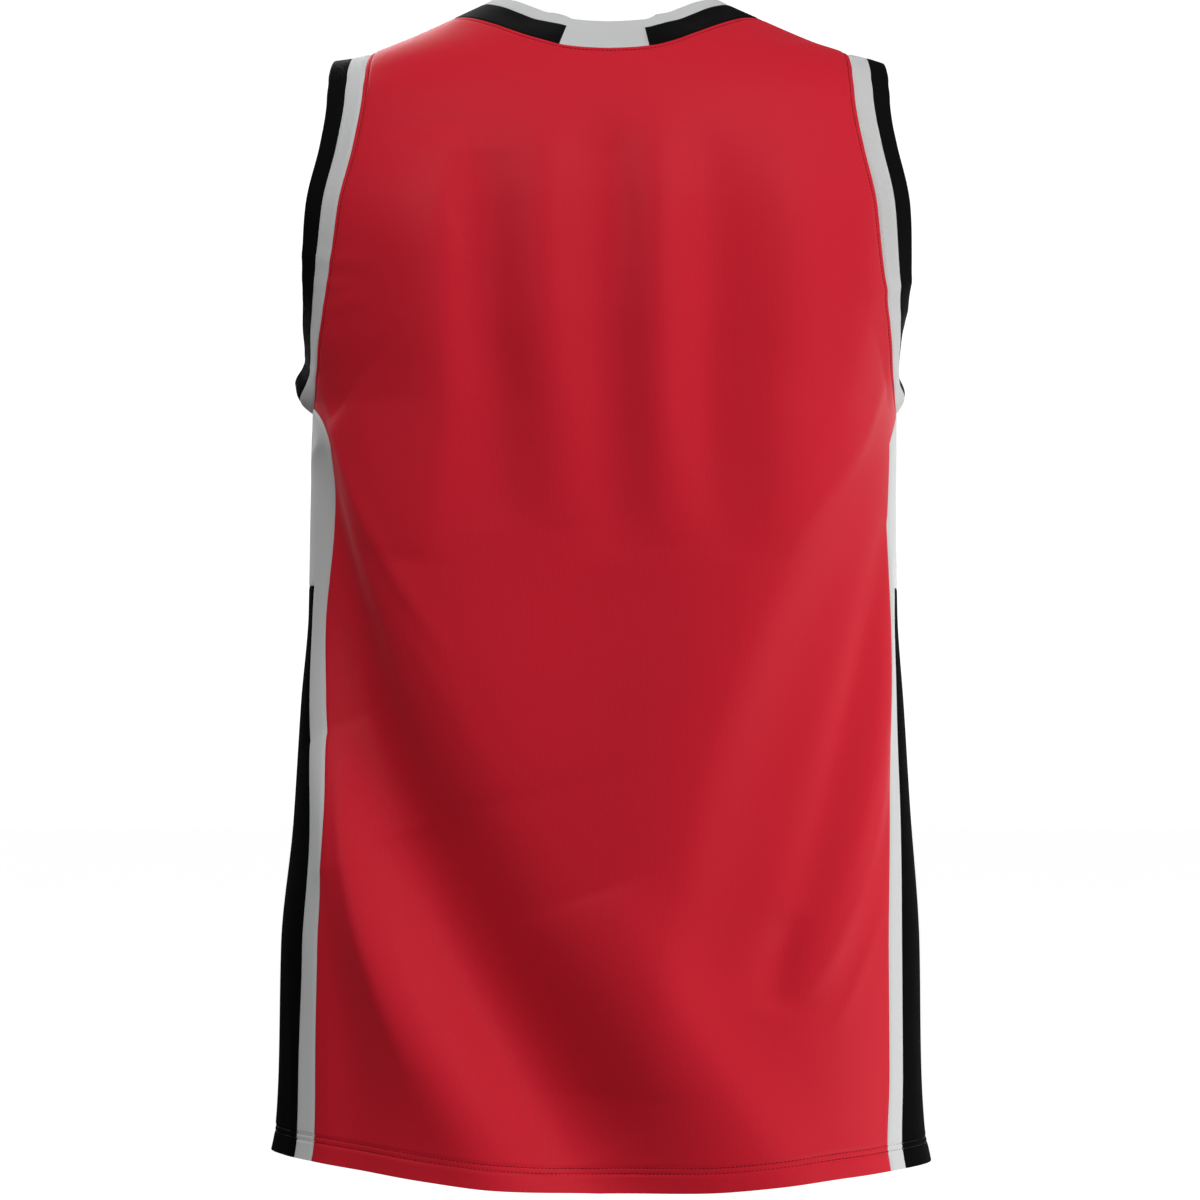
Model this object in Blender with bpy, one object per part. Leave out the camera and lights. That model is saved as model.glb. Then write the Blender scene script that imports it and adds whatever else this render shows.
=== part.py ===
"""Basketball jersey, filled out as if worn, built as the separate pieces of cloth that are sewn together.

Metres, +Z up. The chest faces -Y and the back +Y, and the wearer's left side is at +X. The origin lies
midway between the two high shoulder points, where the shoulder seams meet the neck band: the wearer's
shoulders carry the jersey there. Every piece is a thin wall over a grid of points. The grids follow one body
form, given by a table of level sections and a table of folds. Neighbouring pieces share the points of their
seam, and the directions in which their walls are thickened there, so the gap between them is the same
through the cloth.
"""

import math
from collections import namedtuple

import bpy
import numpy as np

# Driving sizes
CLOTH = 0.002  # thickness of every wall
SEAM_GAP = 0.0003  # between two pieces that are sewn together
SHOULDER_TIP = -0.0235  # height where the shoulder seam ends at the armhole
NECK_HALF_WIDTH = 0.1025  # high shoulder point to the middle
BACK_NECK_DROP = 0.0298
FRONT_NECK_DROP = 0.112
ARMHOLE_BOTTOM = -0.263
ARMHOLE_BACK = 0.074  # how far the armhole's edge reaches back from its middle
ARMHOLE_FRONT = 0.070
ARMHOLE_POWER = 2.2  # 2 for an ellipse, more for a squarer armhole
NECK_STRIPE = 0.0235  # width of the neck band's black stripe
NECK_EDGE = 0.0115  # width of its white edge
NECK_BLOCK = 0.0580  # white block at the middle of the back of the neck band, along its lower edge
ARMHOLE_STRIP = 0.0125  # width of the armhole's white strip, next to the body
ARMHOLE_EDGE = 0.0130  # width of its black edge
SIDE_STRIPE = 0.015  # white stripe down each edge of a side panel
SIDE_TOP_HALF = 0.018  # half the width of a side panel where it meets the armhole
SIDE_CORNER = -0.284  # height where the side panel reaches its full width
INSERT_TOP = -0.378  # height of the black side insert's top edge
HEM_TILT = 0.017  # rise of the hem towards +X, metres a metre

# Mesh counts
INSERT_ROWS = 20  # hem to the insert's top
UPPER_SIDE_ROWS = 5  # on to the side panel's corners
ARMHOLE_ROWS = 16  # up one half of an armhole
SHOULDER_COLUMNS = 4
NECK_COLUMNS = 7  # from the shoulder to the neck band's white block
BLOCK_COLUMNS = 4
INSERT_COLUMNS = 5
BAND_ROWS = 2  # across one strip of a band
CURVE_POINTS = 400  # along a seam's curve before it is cut into equal stretches
EVENINGS = 3  # rounds of averaging that even out the directions across a band
RELAXINGS = 10  # rounds of averaging that even out a panel's grid

# The body form. A level section at each height is |x / half_width| ** power + |y / depth| ** power = 1, with
# one depth behind and another in front, moved sideways by shift. The wearer's arms leave through the
# armholes, so the half widths there are those of the form that the armholes cut.
Section = namedtuple("Section", "height half_width back front power shift")
SECTIONS = (
    #       height   half_width back    front  power   shift
    Section(+0.0230, 0.0250, 0.0270, 0.0290, 1.60, -0.0010),
    Section(+0.0133, 0.0700, 0.0335, 0.0360, 1.80, -0.0010),
    Section(+0.0060, 0.0915, 0.0390, 0.0415, 1.90, -0.0012),
    Section(+0.0000, NECK_HALF_WIDTH, 0.0440, 0.0470, 2.00, -0.0014),
    Section(-0.0080, 0.1195, 0.0520, 0.0530, 2.00, -0.0018),
    Section(-0.0170, 0.1405, 0.0625, 0.0600, 2.00, -0.0020),
    Section(-0.0235, 0.1580, 0.0700, 0.0650, 2.00, -0.0035),
    Section(-0.0310, 0.1716, 0.0780, 0.0710, 2.00, -0.0032),
    Section(-0.0400, 0.1820, 0.0860, 0.0780, 2.00, -0.0030),
    Section(-0.0530, 0.1898, 0.0950, 0.0870, 2.05, -0.0028),
    Section(-0.0930, 0.2036, 0.1120, 0.1070, 2.12, -0.0024),
    Section(-0.1330, 0.2100, 0.1210, 0.1210, 2.18, -0.0020),
    Section(-0.1730, 0.2105, 0.1250, 0.1280, 2.20, -0.0012),
    Section(-0.2130, 0.2060, 0.1268, 0.1308, 2.24, -0.0006),
    Section(-0.2440, 0.1974, 0.1268, 0.1298, 2.28, -0.0004),
    Section(-0.2620, 0.1938, 0.1266, 0.1288, 2.31, -0.0004),
    Section(-0.2860, 0.1941, 0.1258, 0.1269, 2.35, +0.0000),
    Section(-0.3400, 0.1945, 0.1235, 0.1225, 2.49, +0.0008),
    Section(-0.3930, 0.1950, 0.1220, 0.1200, 2.65, +0.0008),
    Section(-0.4530, 0.1993, 0.1230, 0.1205, 2.75, +0.0012),
    Section(-0.5325, 0.2043, 0.1270, 0.1230, 2.80, +0.0012),
    Section(-0.6125, 0.2110, 0.1320, 0.1275, 2.80, +0.0025),
    Section(-0.6925, 0.2123, 0.1355, 0.1310, 2.80, +0.0027),
    Section(-0.7325, 0.2145, 0.1370, 0.1325, 2.80, +0.0027),
    Section(-0.7600, 0.2195, 0.1390, 0.1340, 2.80, +0.0027),
    Section(-0.8000, 0.2215, 0.1400, 0.1350, 2.80, +0.0027),
)

# Half the width of a side panel, and how far the cloth has turned round the body, both measured along Y
SidePanel = namedtuple("SidePanel", "height half_width turn")
SIDE_PANEL = (
    #         height   half_width turn
    SidePanel(-0.7800, 0.0970, 0.0000),
    SidePanel(-0.7520, 0.0955, 0.0000),
    SidePanel(-0.6925, 0.0905, 0.0015),
    SidePanel(-0.6125, 0.0875, 0.0015),
    SidePanel(-0.5325, 0.0795, 0.0040),
    SidePanel(-0.4525, 0.0650, -0.0020),
    SidePanel(-0.3930, 0.0525, -0.0045),
    SidePanel(-0.3400, 0.0495, -0.0010),
    SidePanel(-0.2840, 0.0520, 0.0080),
    SidePanel(-0.2600, 0.0495, 0.0030),
)

# The hem's height by degrees round the body from the middle of the back or of the front
Hem = namedtuple("Hem", "degrees height")
HEM = (
    Hem(0, -0.7596),
    Hem(17, -0.7576),
    Hem(28, -0.7541),
    Hem(41, -0.7495),
    Hem(55, -0.7475),
    Hem(90, -0.7530),
)

# The neckline's height, as a share of its drop, by the share of its half width
Neck = namedtuple("Neck", "across back front")
NECKLINE = (
    #    across back   front
    Neck(0.000, 1.000, 1.000),
    Neck(0.125, 0.980, 0.985),
    Neck(0.277, 0.916, 0.940),
    Neck(0.429, 0.750, 0.862),
    Neck(0.582, 0.520, 0.745),
    Neck(0.740, 0.260, 0.570),
    Neck(0.900, 0.050, 0.315),
    Neck(0.970, 0.005, 0.135),
    Neck(1.000, 0.000, 0.000),
)

# How far an armhole's two strips lean out of the cloth, in degrees, by the share of the way from the shoulder
# down to the armhole's bottom, for the wearer's left and right
Lean = namedtuple("Lean", "share left_strip left_edge right_strip right_edge")
ARMHOLE_LEAN = (
    #    share left_strip left_edge right_strip right_edge
    Lean(0.00, 14, 20, 17, 10),
    Lean(0.10, 11, 16, 20, 7),
    Lean(0.25, 7, 12, 22, 2),
    Lean(0.45, 6, 12, 20, 4),
    Lean(0.60, 3, 6, 12, 0),
    Lean(0.75, -6, -5, 0, -12),
    Lean(0.85, -9, -6, -3, -30),
    Lean(0.92, -6, -4, -3, -34),
    Lean(0.96, 12, -2, 4, -34),
    Lean(1.00, 50, 6, 32, -28),
)

# The same for the neck band's stripe and white edge, by the share of the neck's half width, and how much of
# the sideways part of the way across the band is kept at the back, where the white block has steeper ends
NeckLean = namedtuple("NeckLean", "across back_stripe back_edge front_stripe front_edge sideways")
NECK_LEAN = (
    #        across back_stripe back_edge front_stripe front_edge sideways
    NeckLean(0.00, -6, -5, 4, 8, 0.35),
    NeckLean(0.30, -5, -6, 4, 8, 0.40),
    NeckLean(0.49, -10, 0, 3, 6, 0.70),
    NeckLean(0.64, -14, -2, 2, 4, 0.90),
    NeckLean(0.85, -8, -4, 0, 0, 1.00),
    NeckLean(1.00, 2, 2, 4, 0, 1.00),
)

# Folds. A fold runs along a curve from start by middle to end, each given as degrees round the body from the
# middle of the back (towards +X) and a height. It stands out of the cloth by rise, or dips in where rise is
# negative, and fades towards both ends. A fold that runs down has the width plus on the side of more degrees
# and the width minus on the other side.
Fold = namedtuple("Fold", "start middle end plus minus rise")
FOLDS = (
    #    start           middle          end             plus   minus  rise
    Fold((70, -0.285), (37, -0.530), (-18, -0.850), 0.032, 0.038, -0.0265),
    Fold((34, -0.530), (21, -0.625), (2, -0.740), 0.024, 0.036, -0.0070),
    Fold((62, -0.270), (43, -0.375), (27, -0.520), 0.018, 0.070, +0.0090),
    Fold((58, -0.470), (36, -0.620), (10, -0.800), 0.024, 0.034, +0.0110),
    Fold((51, -0.560), (44, -0.660), (42, -0.800), 0.014, 0.018, -0.0050),
    Fold((-62, -0.240), (-24, -0.420), (-7, -0.700), 0.055, 0.026, +0.0120),
    Fold((0, -0.570), (-15, -0.670), (-33, -0.770), 0.040, 0.025, +0.0090),
    Fold((-67, -0.330), (-46, -0.460), (-29, -0.650), 0.012, 0.014, -0.0035),
    Fold((-69, -0.340), (-54, -0.480), (-33, -0.640), 0.016, 0.014, +0.0045),
    Fold((31, -0.080), (29, -0.200), (34, -0.360), 0.040, 0.015, +0.0080),
    Fold((22, -0.100), (21, -0.200), (20, -0.340), 0.015, 0.015, -0.0045),
    Fold((12, -0.050), (11, -0.180), (8, -0.340), 0.018, 0.016, +0.0055),
    Fold((1, -0.060), (0, -0.190), (-2, -0.360), 0.015, 0.015, -0.0050),
    Fold((-10, -0.060), (-9, -0.190), (-12, -0.350), 0.014, 0.016, +0.0055),
    Fold((-18, -0.080), (-19, -0.210), (-22, -0.360), 0.015, 0.018, -0.0055),
    Fold((-32, -0.080), (-34, -0.210), (-33, -0.360), 0.020, 0.024, +0.0055),
    Fold((-50, -0.080), (-50, -0.190), (-44, -0.310), 0.024, 0.020, +0.0030),
    Fold((57, -0.150), (42, -0.145), (27, -0.135), 0.035, 0.035, +0.0035),
    Fold((117, -0.330), (147, -0.560), (191, -0.790), 0.034, 0.030, -0.0150),
    Fold((123, -0.440), (144, -0.620), (165, -0.800), 0.030, 0.022, +0.0080),
    Fold((142, -0.400), (170, -0.600), (213, -0.800), 0.040, 0.040, +0.0050),
    Fold((243, -0.330), (222, -0.500), (213, -0.680), 0.024, 0.034, +0.0080),
    Fold((231, -0.120), (222, -0.230), (208, -0.380), 0.022, 0.026, -0.0050),
    Fold((129, -0.120), (138, -0.230), (152, -0.380), 0.026, 0.022, -0.0050),
    Fold((166, -0.170), (169, -0.280), (167, -0.420), 0.018, 0.016, +0.0040),
    Fold((192, -0.170), (194, -0.290), (198, -0.440), 0.016, 0.018, +0.0040),
)
FOLD_RADIUS = 0.17  # turns degrees round the body into metres along the cloth
FOLD_STEPS = 16  # straight stretches that a fold's curve is measured along
CALM_ABOVE = -0.04  # no fold reaches above this height
CALM_FADE = 0.06

NECK_CENTRE = np.array([0, 0, 0.03])  # a point inside the neck's opening, above its edge

LEFT, RIGHT = +1, -1  # the wearer's sides, along X
BACK, FRONT = +1, -1  # along Y

SHARP_EDGE = math.radians(50)  # the rims of a wall are sharp, its folds smooth

COLOURS = {
    "red": (0.70, 0.015, 0.033),
    "white": (0.71, 0.72, 0.715),
    "black": (0.0045, 0.0045, 0.0048),
}


# The body form


def smooth_through(places, values):
    """A function that runs smoothly through the values and never overshoots them (a monotone cubic)."""
    order = np.argsort(places)
    places, values = np.array(places, float)[order], np.array(values, float)[order]
    step = np.diff(places)
    rise = np.diff(values) / step
    slope = np.concatenate([rise[:1], np.zeros(len(rise) - 1), rise[-1:]])
    for i in range(1, len(rise)):
        if rise[i - 1] * rise[i] > 0:
            before, after = 2 * step[i] + step[i - 1], step[i] + 2 * step[i - 1]
            slope[i] = (before + after) / (before / rise[i - 1] + after / rise[i])

    def value(at):
        i = np.clip(np.searchsorted(places, at, side="right") - 1, 0, len(step) - 1)
        t = np.clip((at - places[i]) / step[i], 0, 1)
        start = values[i] * (1 + 2 * t) + slope[i] * step[i] * t
        end = values[i + 1] * (3 - 2 * t) - slope[i + 1] * step[i] * (1 - t)
        return start * (1 - t) ** 2 + end * t**2

    return value


def smooth_columns(table):
    """A smooth function for each column of a table but the first, of the first column."""
    first, *others = table[0]._fields
    places = [getattr(row, first) for row in table]
    return {name: smooth_through(places, [getattr(row, name) for row in table]) for name in others}


BODY = smooth_columns(SECTIONS)
SIDE = smooth_columns(SIDE_PANEL)
HEM_HEIGHT = smooth_columns(HEM)["height"]
NECK_DROP = smooth_columns(NECKLINE)
LEAN = {**smooth_columns(ARMHOLE_LEAN), **smooth_columns(NECK_LEAN)}


def depth_at(height, y):
    """The section's depth on the side of the body that y is on."""
    return np.where(y >= 0, BODY["back"](height), BODY["front"](height))


def side_point(y, height, side):
    """A point of the body form on its left or right side, seen from that side."""
    power = BODY["power"](height)
    share = np.clip(1 - np.abs(y / depth_at(height, y)) ** power, 0, 1)
    x = BODY["shift"](height) + side * BODY["half_width"](height) * share ** (1 / power)
    return np.stack([x, y + 0 * x, height + 0 * x], axis=-1)


def face_point(x, height, face):
    """A point of the body form on its back or front, seen from there."""
    power = BODY["power"](height)
    share = np.clip(1 - np.abs((x - BODY["shift"](height)) / BODY["half_width"](height)) ** power, 0, 1)
    y = face * depth_at(height, face) * share ** (1 / power)
    return np.stack([x, y, height + 0 * x], axis=-1)


def ring_point(degrees, height):
    """A point of the body form, by the angle round it from the middle of the back towards +X."""
    across, along = np.sin(np.radians(degrees)), np.cos(np.radians(degrees))
    power = BODY["power"](height)
    reach = (np.abs(across) ** power + np.abs(along) ** power) ** (-1 / power)
    x = BODY["shift"](height) + BODY["half_width"](height) * reach * across
    y = depth_at(height, along) * reach * along
    return np.stack([x, y, height + 0 * x], axis=-1)


def degrees_round(points):
    """The angle round the body of points on it, from the middle of the back towards +X."""
    x, y, height = np.moveaxis(points, -1, 0)
    across = (x - BODY["shift"](height)) / BODY["half_width"](height)
    return np.degrees(np.arctan2(across, y / depth_at(height, y)))


def level_of(points):
    """1 on the body form, less inside it and more outside."""
    x, y, height = np.moveaxis(points, -1, 0)
    power = BODY["power"](height)
    across = np.abs((x - BODY["shift"](height)) / BODY["half_width"](height)) ** power
    return across + np.abs(y / depth_at(height, y)) ** power


def level_slope(points):
    probe = 0.0005
    slope = [level_of(points + step) - level_of(points - step) for step in probe * np.eye(3)]
    return np.stack(slope, axis=-1) / (2 * probe)


def unit(vectors):
    return vectors / np.linalg.norm(vectors, axis=-1, keepdims=True)


def outward(points):
    """The body form's outward direction."""
    return unit(level_slope(points))


def laid_on_body(points, rounds=12):
    """Points moved onto the body form by the shortest way."""
    for _ in range(rounds):
        slope = level_slope(points)
        step = (1 - level_of(points)) / np.sum(slope**2, axis=-1)
        points = points + slope * step[..., None]
    return points


# Folds


def fold_rise(fold, degrees, height):
    """How far one fold lifts the cloth at each place."""
    share = np.linspace(0, 1, FOLD_STEPS + 1)
    start, middle, end = (np.array([math.radians(a) * FOLD_RADIUS, h]) for a, h in fold[:3])
    bend = 2 * middle - (start + end) / 2
    weights = (1 - share) ** 2, 2 * share * (1 - share), share**2
    line = sum(np.outer(weight, place) for weight, place in zip(weights, (start, bend, end)))
    round_body = math.degrees(line[:, 0].mean() / FOLD_RADIUS)
    degrees = round_body + (degrees - round_body + 180) % 360 - 180
    places = np.stack([np.radians(degrees) * FOLD_RADIUS, height], axis=-1)
    nearest, along = np.full(degrees.shape, np.inf), np.zeros(degrees.shape)
    on_plus = np.zeros(degrees.shape, bool)
    for i in range(FOLD_STEPS):
        run, away = line[i + 1] - line[i], places - line[i]
        t = np.clip((away @ run) / (run @ run), 0, 1)
        distance = np.linalg.norm(away - t[..., None] * run, axis=-1)
        closer = distance < nearest
        along = np.where(closer, (i + t) / FOLD_STEPS, along)
        on_plus = np.where(closer, run[0] * away[..., 1] - run[1] * away[..., 0] > 0, on_plus)
        nearest = np.minimum(nearest, distance)
    width = np.where(on_plus, fold.plus, fold.minus)
    return fold.rise * np.sin(np.pi * along) ** 0.7 * np.exp(-((nearest / width) ** 2))


def draped(points):
    """Points of the body form moved out or in by the folds."""
    height = points[..., 2]
    degrees = degrees_round(points)
    rise = sum(fold_rise(fold, degrees, height) for fold in FOLDS)
    rise = rise * np.clip((CALM_ABOVE - height) / CALM_FADE, 0, 1)
    return points + outward(points) * rise[..., None]


# Seams and edges, all on the body form


def evenly(parts, *counts):
    """A line again, as equal stretches. The line comes in parts, with a count of stretches for each."""
    cut = []
    for part, count in zip(parts, counts):
        along = np.concatenate([[0], np.cumsum(np.linalg.norm(np.diff(part, axis=0), axis=1))])
        at = np.linspace(0, along[-1], count + 1)
        cut.append(np.stack([np.interp(at, along, part[:, k]) for k in range(3)], axis=-1))
    return np.concatenate([cut[0]] + [stretch[1:] for stretch in cut[1:]])


def hem_height(degrees, x):
    from_middle = 90 - np.abs(90 - np.abs(degrees) % 180)
    return HEM_HEIGHT(from_middle) + HEM_TILT * x


def hem_height_at_side(y, side):
    """The hem's height at a depth on a side of the body."""
    rough = side_point(y, np.full(np.shape(y), HEM[-1].height), side)
    return hem_height(degrees_round(rough), rough[..., 0])


def armhole_point(turn, side, face):
    """A point of one half of an armhole's edge, by its angle up from the armhole's middle, in radians."""
    reach = ARMHOLE_BACK if face == BACK else ARMHOLE_FRONT
    middle, half = (SHOULDER_TIP + ARMHOLE_BOTTOM) / 2, (SHOULDER_TIP - ARMHOLE_BOTTOM) / 2
    root = 2 / ARMHOLE_POWER
    y = face * reach * np.sign(np.cos(turn)) * np.abs(np.cos(turn)) ** root
    height = middle + half * np.sign(np.sin(turn)) * np.abs(np.sin(turn)) ** root
    return side_point(y, height, side)


def armhole_turn(y, face):
    """The angle at which the armhole's lower edge passes a depth, in radians."""
    reach = ARMHOLE_BACK if face == BACK else ARMHOLE_FRONT
    return -math.pi / 2 + face * np.sign(y) * np.arcsin(np.abs(y / reach) ** (ARMHOLE_POWER / 2))


def shoulder_seam(side):
    """The shoulder seam, from the armhole to the high shoulder point."""
    return evenly([side_point(0.0, np.linspace(SHOULDER_TIP, 0, CURVE_POINTS), side)], SHOULDER_COLUMNS)


def neckline(face):
    """The neck edge of the back or front, from left to right, with a stretch for the white block."""
    share = np.cos(np.linspace(0, np.pi, CURVE_POINTS))
    if face == BACK:
        height = -BACK_NECK_DROP * NECK_DROP["back"](np.abs(share))
    else:
        height = -FRONT_NECK_DROP * NECK_DROP["front"](np.abs(share))
    line = face_point(BODY["shift"](height) + share * NECK_HALF_WIDTH, height, face)
    in_block = np.flatnonzero(np.abs(line[:, 0]) < NECK_BLOCK / 2)
    first, last = in_block[0], in_block[-1]
    parts = [line[: first + 1], line[first : last + 1], line[last:]]
    return evenly(parts, NECK_COLUMNS, BLOCK_COLUMNS, NECK_COLUMNS)


def side_seam_depth(height, side, face):
    """How far back (or, where negative, forward) the seam between a side panel and the back or front lies."""
    roof = np.clip((height - SIDE_CORNER) / (ARMHOLE_BOTTOM - SIDE_CORNER), 0, 1)
    half = SIDE["half_width"](height) * (1 - roof) + SIDE_TOP_HALF * roof
    return face * half + side * SIDE["turn"](height)


def stepped_round(y, height, side, distance):
    """The depth reached from a depth by going a distance round the side of the body."""
    start = side_point(y, height, side)
    reached = y + distance
    for _ in range(6):
        gone = np.linalg.norm(side_point(reached, height, side) - start)
        reached = y + (reached - y) * abs(distance) / gone
    return reached


# Grids of points. Rows run up from the hem, and columns from left to right (on a side, from back to front).


def side_row_levels():
    """The heights of a side panel's rows, as shares of the way from the hem to the armhole."""
    low = HEM[-1].height
    insert = (INSERT_TOP - low) / (ARMHOLE_BOTTOM - low)
    corner = (SIDE_CORNER - low) / (ARMHOLE_BOTTOM - low)
    lower = np.linspace(0, insert, INSERT_ROWS + 1)
    upper = np.linspace(insert, corner, UPPER_SIDE_ROWS + 1)
    return np.concatenate([lower, upper[1:], [1.0]])


def side_grid(side):
    """Points of a whole side panel, insert included."""
    low = HEM[-1].height
    rows = []
    for level in side_row_levels():
        height = low + (ARMHOLE_BOTTOM - low) * level
        back, front = (side_seam_depth(height, side, face) for face in (BACK, FRONT))
        stripe = min(SIDE_STRIPE, (back - front) / 3)
        inner = stepped_round(back, height, side, -stripe), stepped_round(front, height, side, stripe)
        depths = np.array([back, *np.linspace(*inner, INSERT_COLUMNS + 1), front])
        heights = hem_height_at_side(depths, side) * (1 - level) + ARMHOLE_BOTTOM * level
        rows.append(side_point(depths, heights, side))
    # The top row follows the armhole.
    faces = np.where(depths >= 0, BACK, FRONT)
    rows[-1] = [armhole_point(armhole_turn(y, face), side, face) for y, face in zip(depths, faces)]
    return np.array(rows)


def panel_grid(face, sides):
    """Points of the back or front panel, between the side seams, armholes, shoulders, neckline and hem."""
    edges, hem_ends = {}, {}
    for side, grid in sides.items():
        seam = grid[:, 0] if face == BACK else grid[:, -1]
        turn = np.linspace(armhole_turn(seam[-1, 1], face), math.pi / 2, CURVE_POINTS)
        armhole = evenly([armhole_point(turn, side, face)], ARMHOLE_ROWS)
        edges[side] = np.concatenate([seam, armhole[1:]])
        hem_ends[side] = degrees_round(seam[0]) % 360 if face == FRONT else degrees_round(seam[0])
    shoulders = {side: shoulder_seam(side) for side in sides}
    top = np.concatenate([shoulders[LEFT], neckline(face)[1:], shoulders[RIGHT][::-1][1:]])
    degrees = np.linspace(hem_ends[LEFT], hem_ends[RIGHT], CURVE_POINTS)
    rough = ring_point(degrees, np.full(CURVE_POINTS, HEM[-1].height))
    hem = evenly([ring_point(degrees, hem_height(degrees, rough[:, 0]))], len(top) - 1)
    return filled(hem, top, edges[LEFT], edges[RIGHT])


def filled(bottom, top, left, right):
    """A grid of points between four edges, laid on the body form and evened out. The edges stay as they are."""
    u = np.linspace(0, 1, len(bottom))[None, :, None]
    v = np.linspace(0, 1, len(left))[:, None, None]
    up = (1 - v) * bottom[None] + v * top[None]
    across = (1 - u) * left[:, None] + u * right[:, None]
    corners = (1 - v) * ((1 - u) * bottom[0] + u * bottom[-1]) + v * ((1 - u) * top[0] + u * top[-1])
    grid = laid_on_body(up + across - corners)
    grid[0], grid[-1], grid[:, 0], grid[:, -1] = bottom, top, left, right
    for _ in range(RELAXINGS):
        middle = (grid[:-2, 1:-1] + grid[2:, 1:-1] + grid[1:-1, :-2] + grid[1:-1, 2:]) / 4
        grid[1:-1, 1:-1] = laid_on_body(middle, rounds=2)
    return grid


def band_lines(edge, outs, inward, strips):
    """Lines across a band from the edge that it is sewn to, with the directions out of the cloth along each.

    inward leads across the band in the cloth that it is sewn to, and outs out of that cloth. strips gives the
    width of each of the band's two strips and how far it leans out, in degrees, point by point.
    """
    (first, first_lean), (second, second_lean) = strips

    def lean(distance):
        share = np.clip((distance - first / 2) / ((first + second) / 2), 0, 1)
        return np.radians(first_lean * (1 - share) + second_lean * share)[:, None]

    lines, directions, done = [edge], [outs], 0
    for step in [first / BAND_ROWS] * BAND_ROWS + [second / BAND_ROWS] * BAND_ROWS:
        turn = lean(done + step / 2)
        done += step
        lines.append(lines[-1] + (np.cos(turn) * inward + np.sin(turn) * outs) * step)
        directions.append(np.cos(lean(done)) * outs - np.sin(lean(done)) * inward)
    return np.array(lines), np.array(directions)


def evened(directions):
    """Directions along a closed edge, each averaged with its neighbours."""
    for _ in range(EVENINGS):
        directions = unit(directions * 2 + np.roll(directions, 1, axis=0) + np.roll(directions, -1, axis=0))
    return directions


def across_edge(edge, outs, centre):
    """For a closed edge, the direction in the cloth that leads square across it and towards a centre."""
    tangent = unit(np.roll(edge, -1, axis=0) - np.roll(edge, 1, axis=0))
    inward = unit(np.cross(outs, tangent))
    return inward * np.sign(np.sum(inward * (centre - edge)))


# Pieces


def square_in(edge, beside):
    """The direction from an edge towards the line beside it, square to the edge."""
    tangent = unit(np.gradient(edge, axis=0))
    inward = beside - edge
    return unit(inward - tangent * np.sum(inward * tangent, axis=-1, keepdims=True))


def drawn_in(grid, below, above, ends=None):
    """A grid with its lowest and highest rows moved in by a gap each, and its end columns too unless it is
    closed."""
    result = grid.copy()
    result[0] += square_in(grid[0], grid[1]) * below
    result[-1] += square_in(grid[-1], grid[-2]) * above
    if ends is not None:
        result[:, 0] += square_in(grid[:, 0], grid[:, 1]) * ends
        result[:, -1] += square_in(grid[:, -1], grid[:, -2]) * ends
    return result


def material(colour):
    """A matt knitted cloth in one of the jersey's three colours."""
    made = bpy.data.materials.new(colour)
    made.use_nodes = True
    shader = made.node_tree.nodes["Principled BSDF"]
    shader.inputs["Base Color"].default_value = (*COLOURS[colour], 1)
    shader.inputs["Roughness"].default_value = 0.6
    shader.inputs["Metallic"].default_value = 0
    return made


def cloth_piece(name, outer, outs, colour, cells=None, closed=False):
    """One piece of cloth: a wall between a grid of points and one behind it, with a rim round every edge.

    outs are the directions out of the cloth. cells says which of the grid's cells the piece has, and a closed
    grid's last column joins its first.
    """
    rows, columns = outer.shape[:2]
    points = np.concatenate([outer.reshape(-1, 3), (outer - outs * CLOTH).reshape(-1, 3)])
    behind = rows * columns
    front = []
    for i in range(rows - 1):
        for j in range(columns if closed else columns - 1):
            if cells is None or cells[i, j]:
                k = (j + 1) % columns
                front.append((i * columns + j, i * columns + k, (i + 1) * columns + k, (i + 1) * columns + j))
    a, b, _, d = points[list(front[0])]
    if np.dot(np.cross(b - a, d - a), outs.reshape(-1, 3)[front[0][0]]) < 0:
        front = [quad[::-1] for quad in front]
    sides = {(quad[n], quad[(n + 1) % 4]) for quad in front for n in range(4)}
    rim = [(b, a, a + behind, b + behind) for a, b in sorted(sides) if (b, a) not in sides]
    quads = front + [tuple(corner + behind for corner in quad[::-1]) for quad in front] + rim
    used = sorted({corner for quad in quads for corner in quad})
    number = {corner: n for n, corner in enumerate(used)}
    mesh = bpy.data.meshes.new(name)
    mesh.from_pydata(points[used].tolist(), [], [[number[corner] for corner in quad] for quad in quads])
    mesh.shade_smooth()
    mesh.set_sharp_from_angle(angle=SHARP_EDGE)
    mesh.materials.append(MATERIALS[colour])
    JERSEY.objects.link(bpy.data.objects.new(name, mesh))


def make_panel(name, grid):
    """The back or front panel."""
    half = SEAM_GAP / 2
    cloth_piece(name, drawn_in(draped(grid), half, half, half), outward(grid), "red")


def make_side(label, grid):
    """A side panel, white above and down both edges, and the black insert that it frames."""
    half = SEAM_GAP / 2
    points, outs = draped(grid), outward(grid)
    frame = np.ones((len(grid) - 1, INSERT_COLUMNS + 2), bool)
    frame[:INSERT_ROWS, 1:-1] = False
    cloth_piece("side_panel_" + label, drawn_in(points, half, half, half), outs, "white", cells=frame)
    insert = drawn_in(points[: INSERT_ROWS + 1, 1:-1], half, SEAM_GAP, SEAM_GAP)
    cloth_piece("side_insert_" + label, insert, outs[: INSERT_ROWS + 1, 1:-1], "black")


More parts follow.
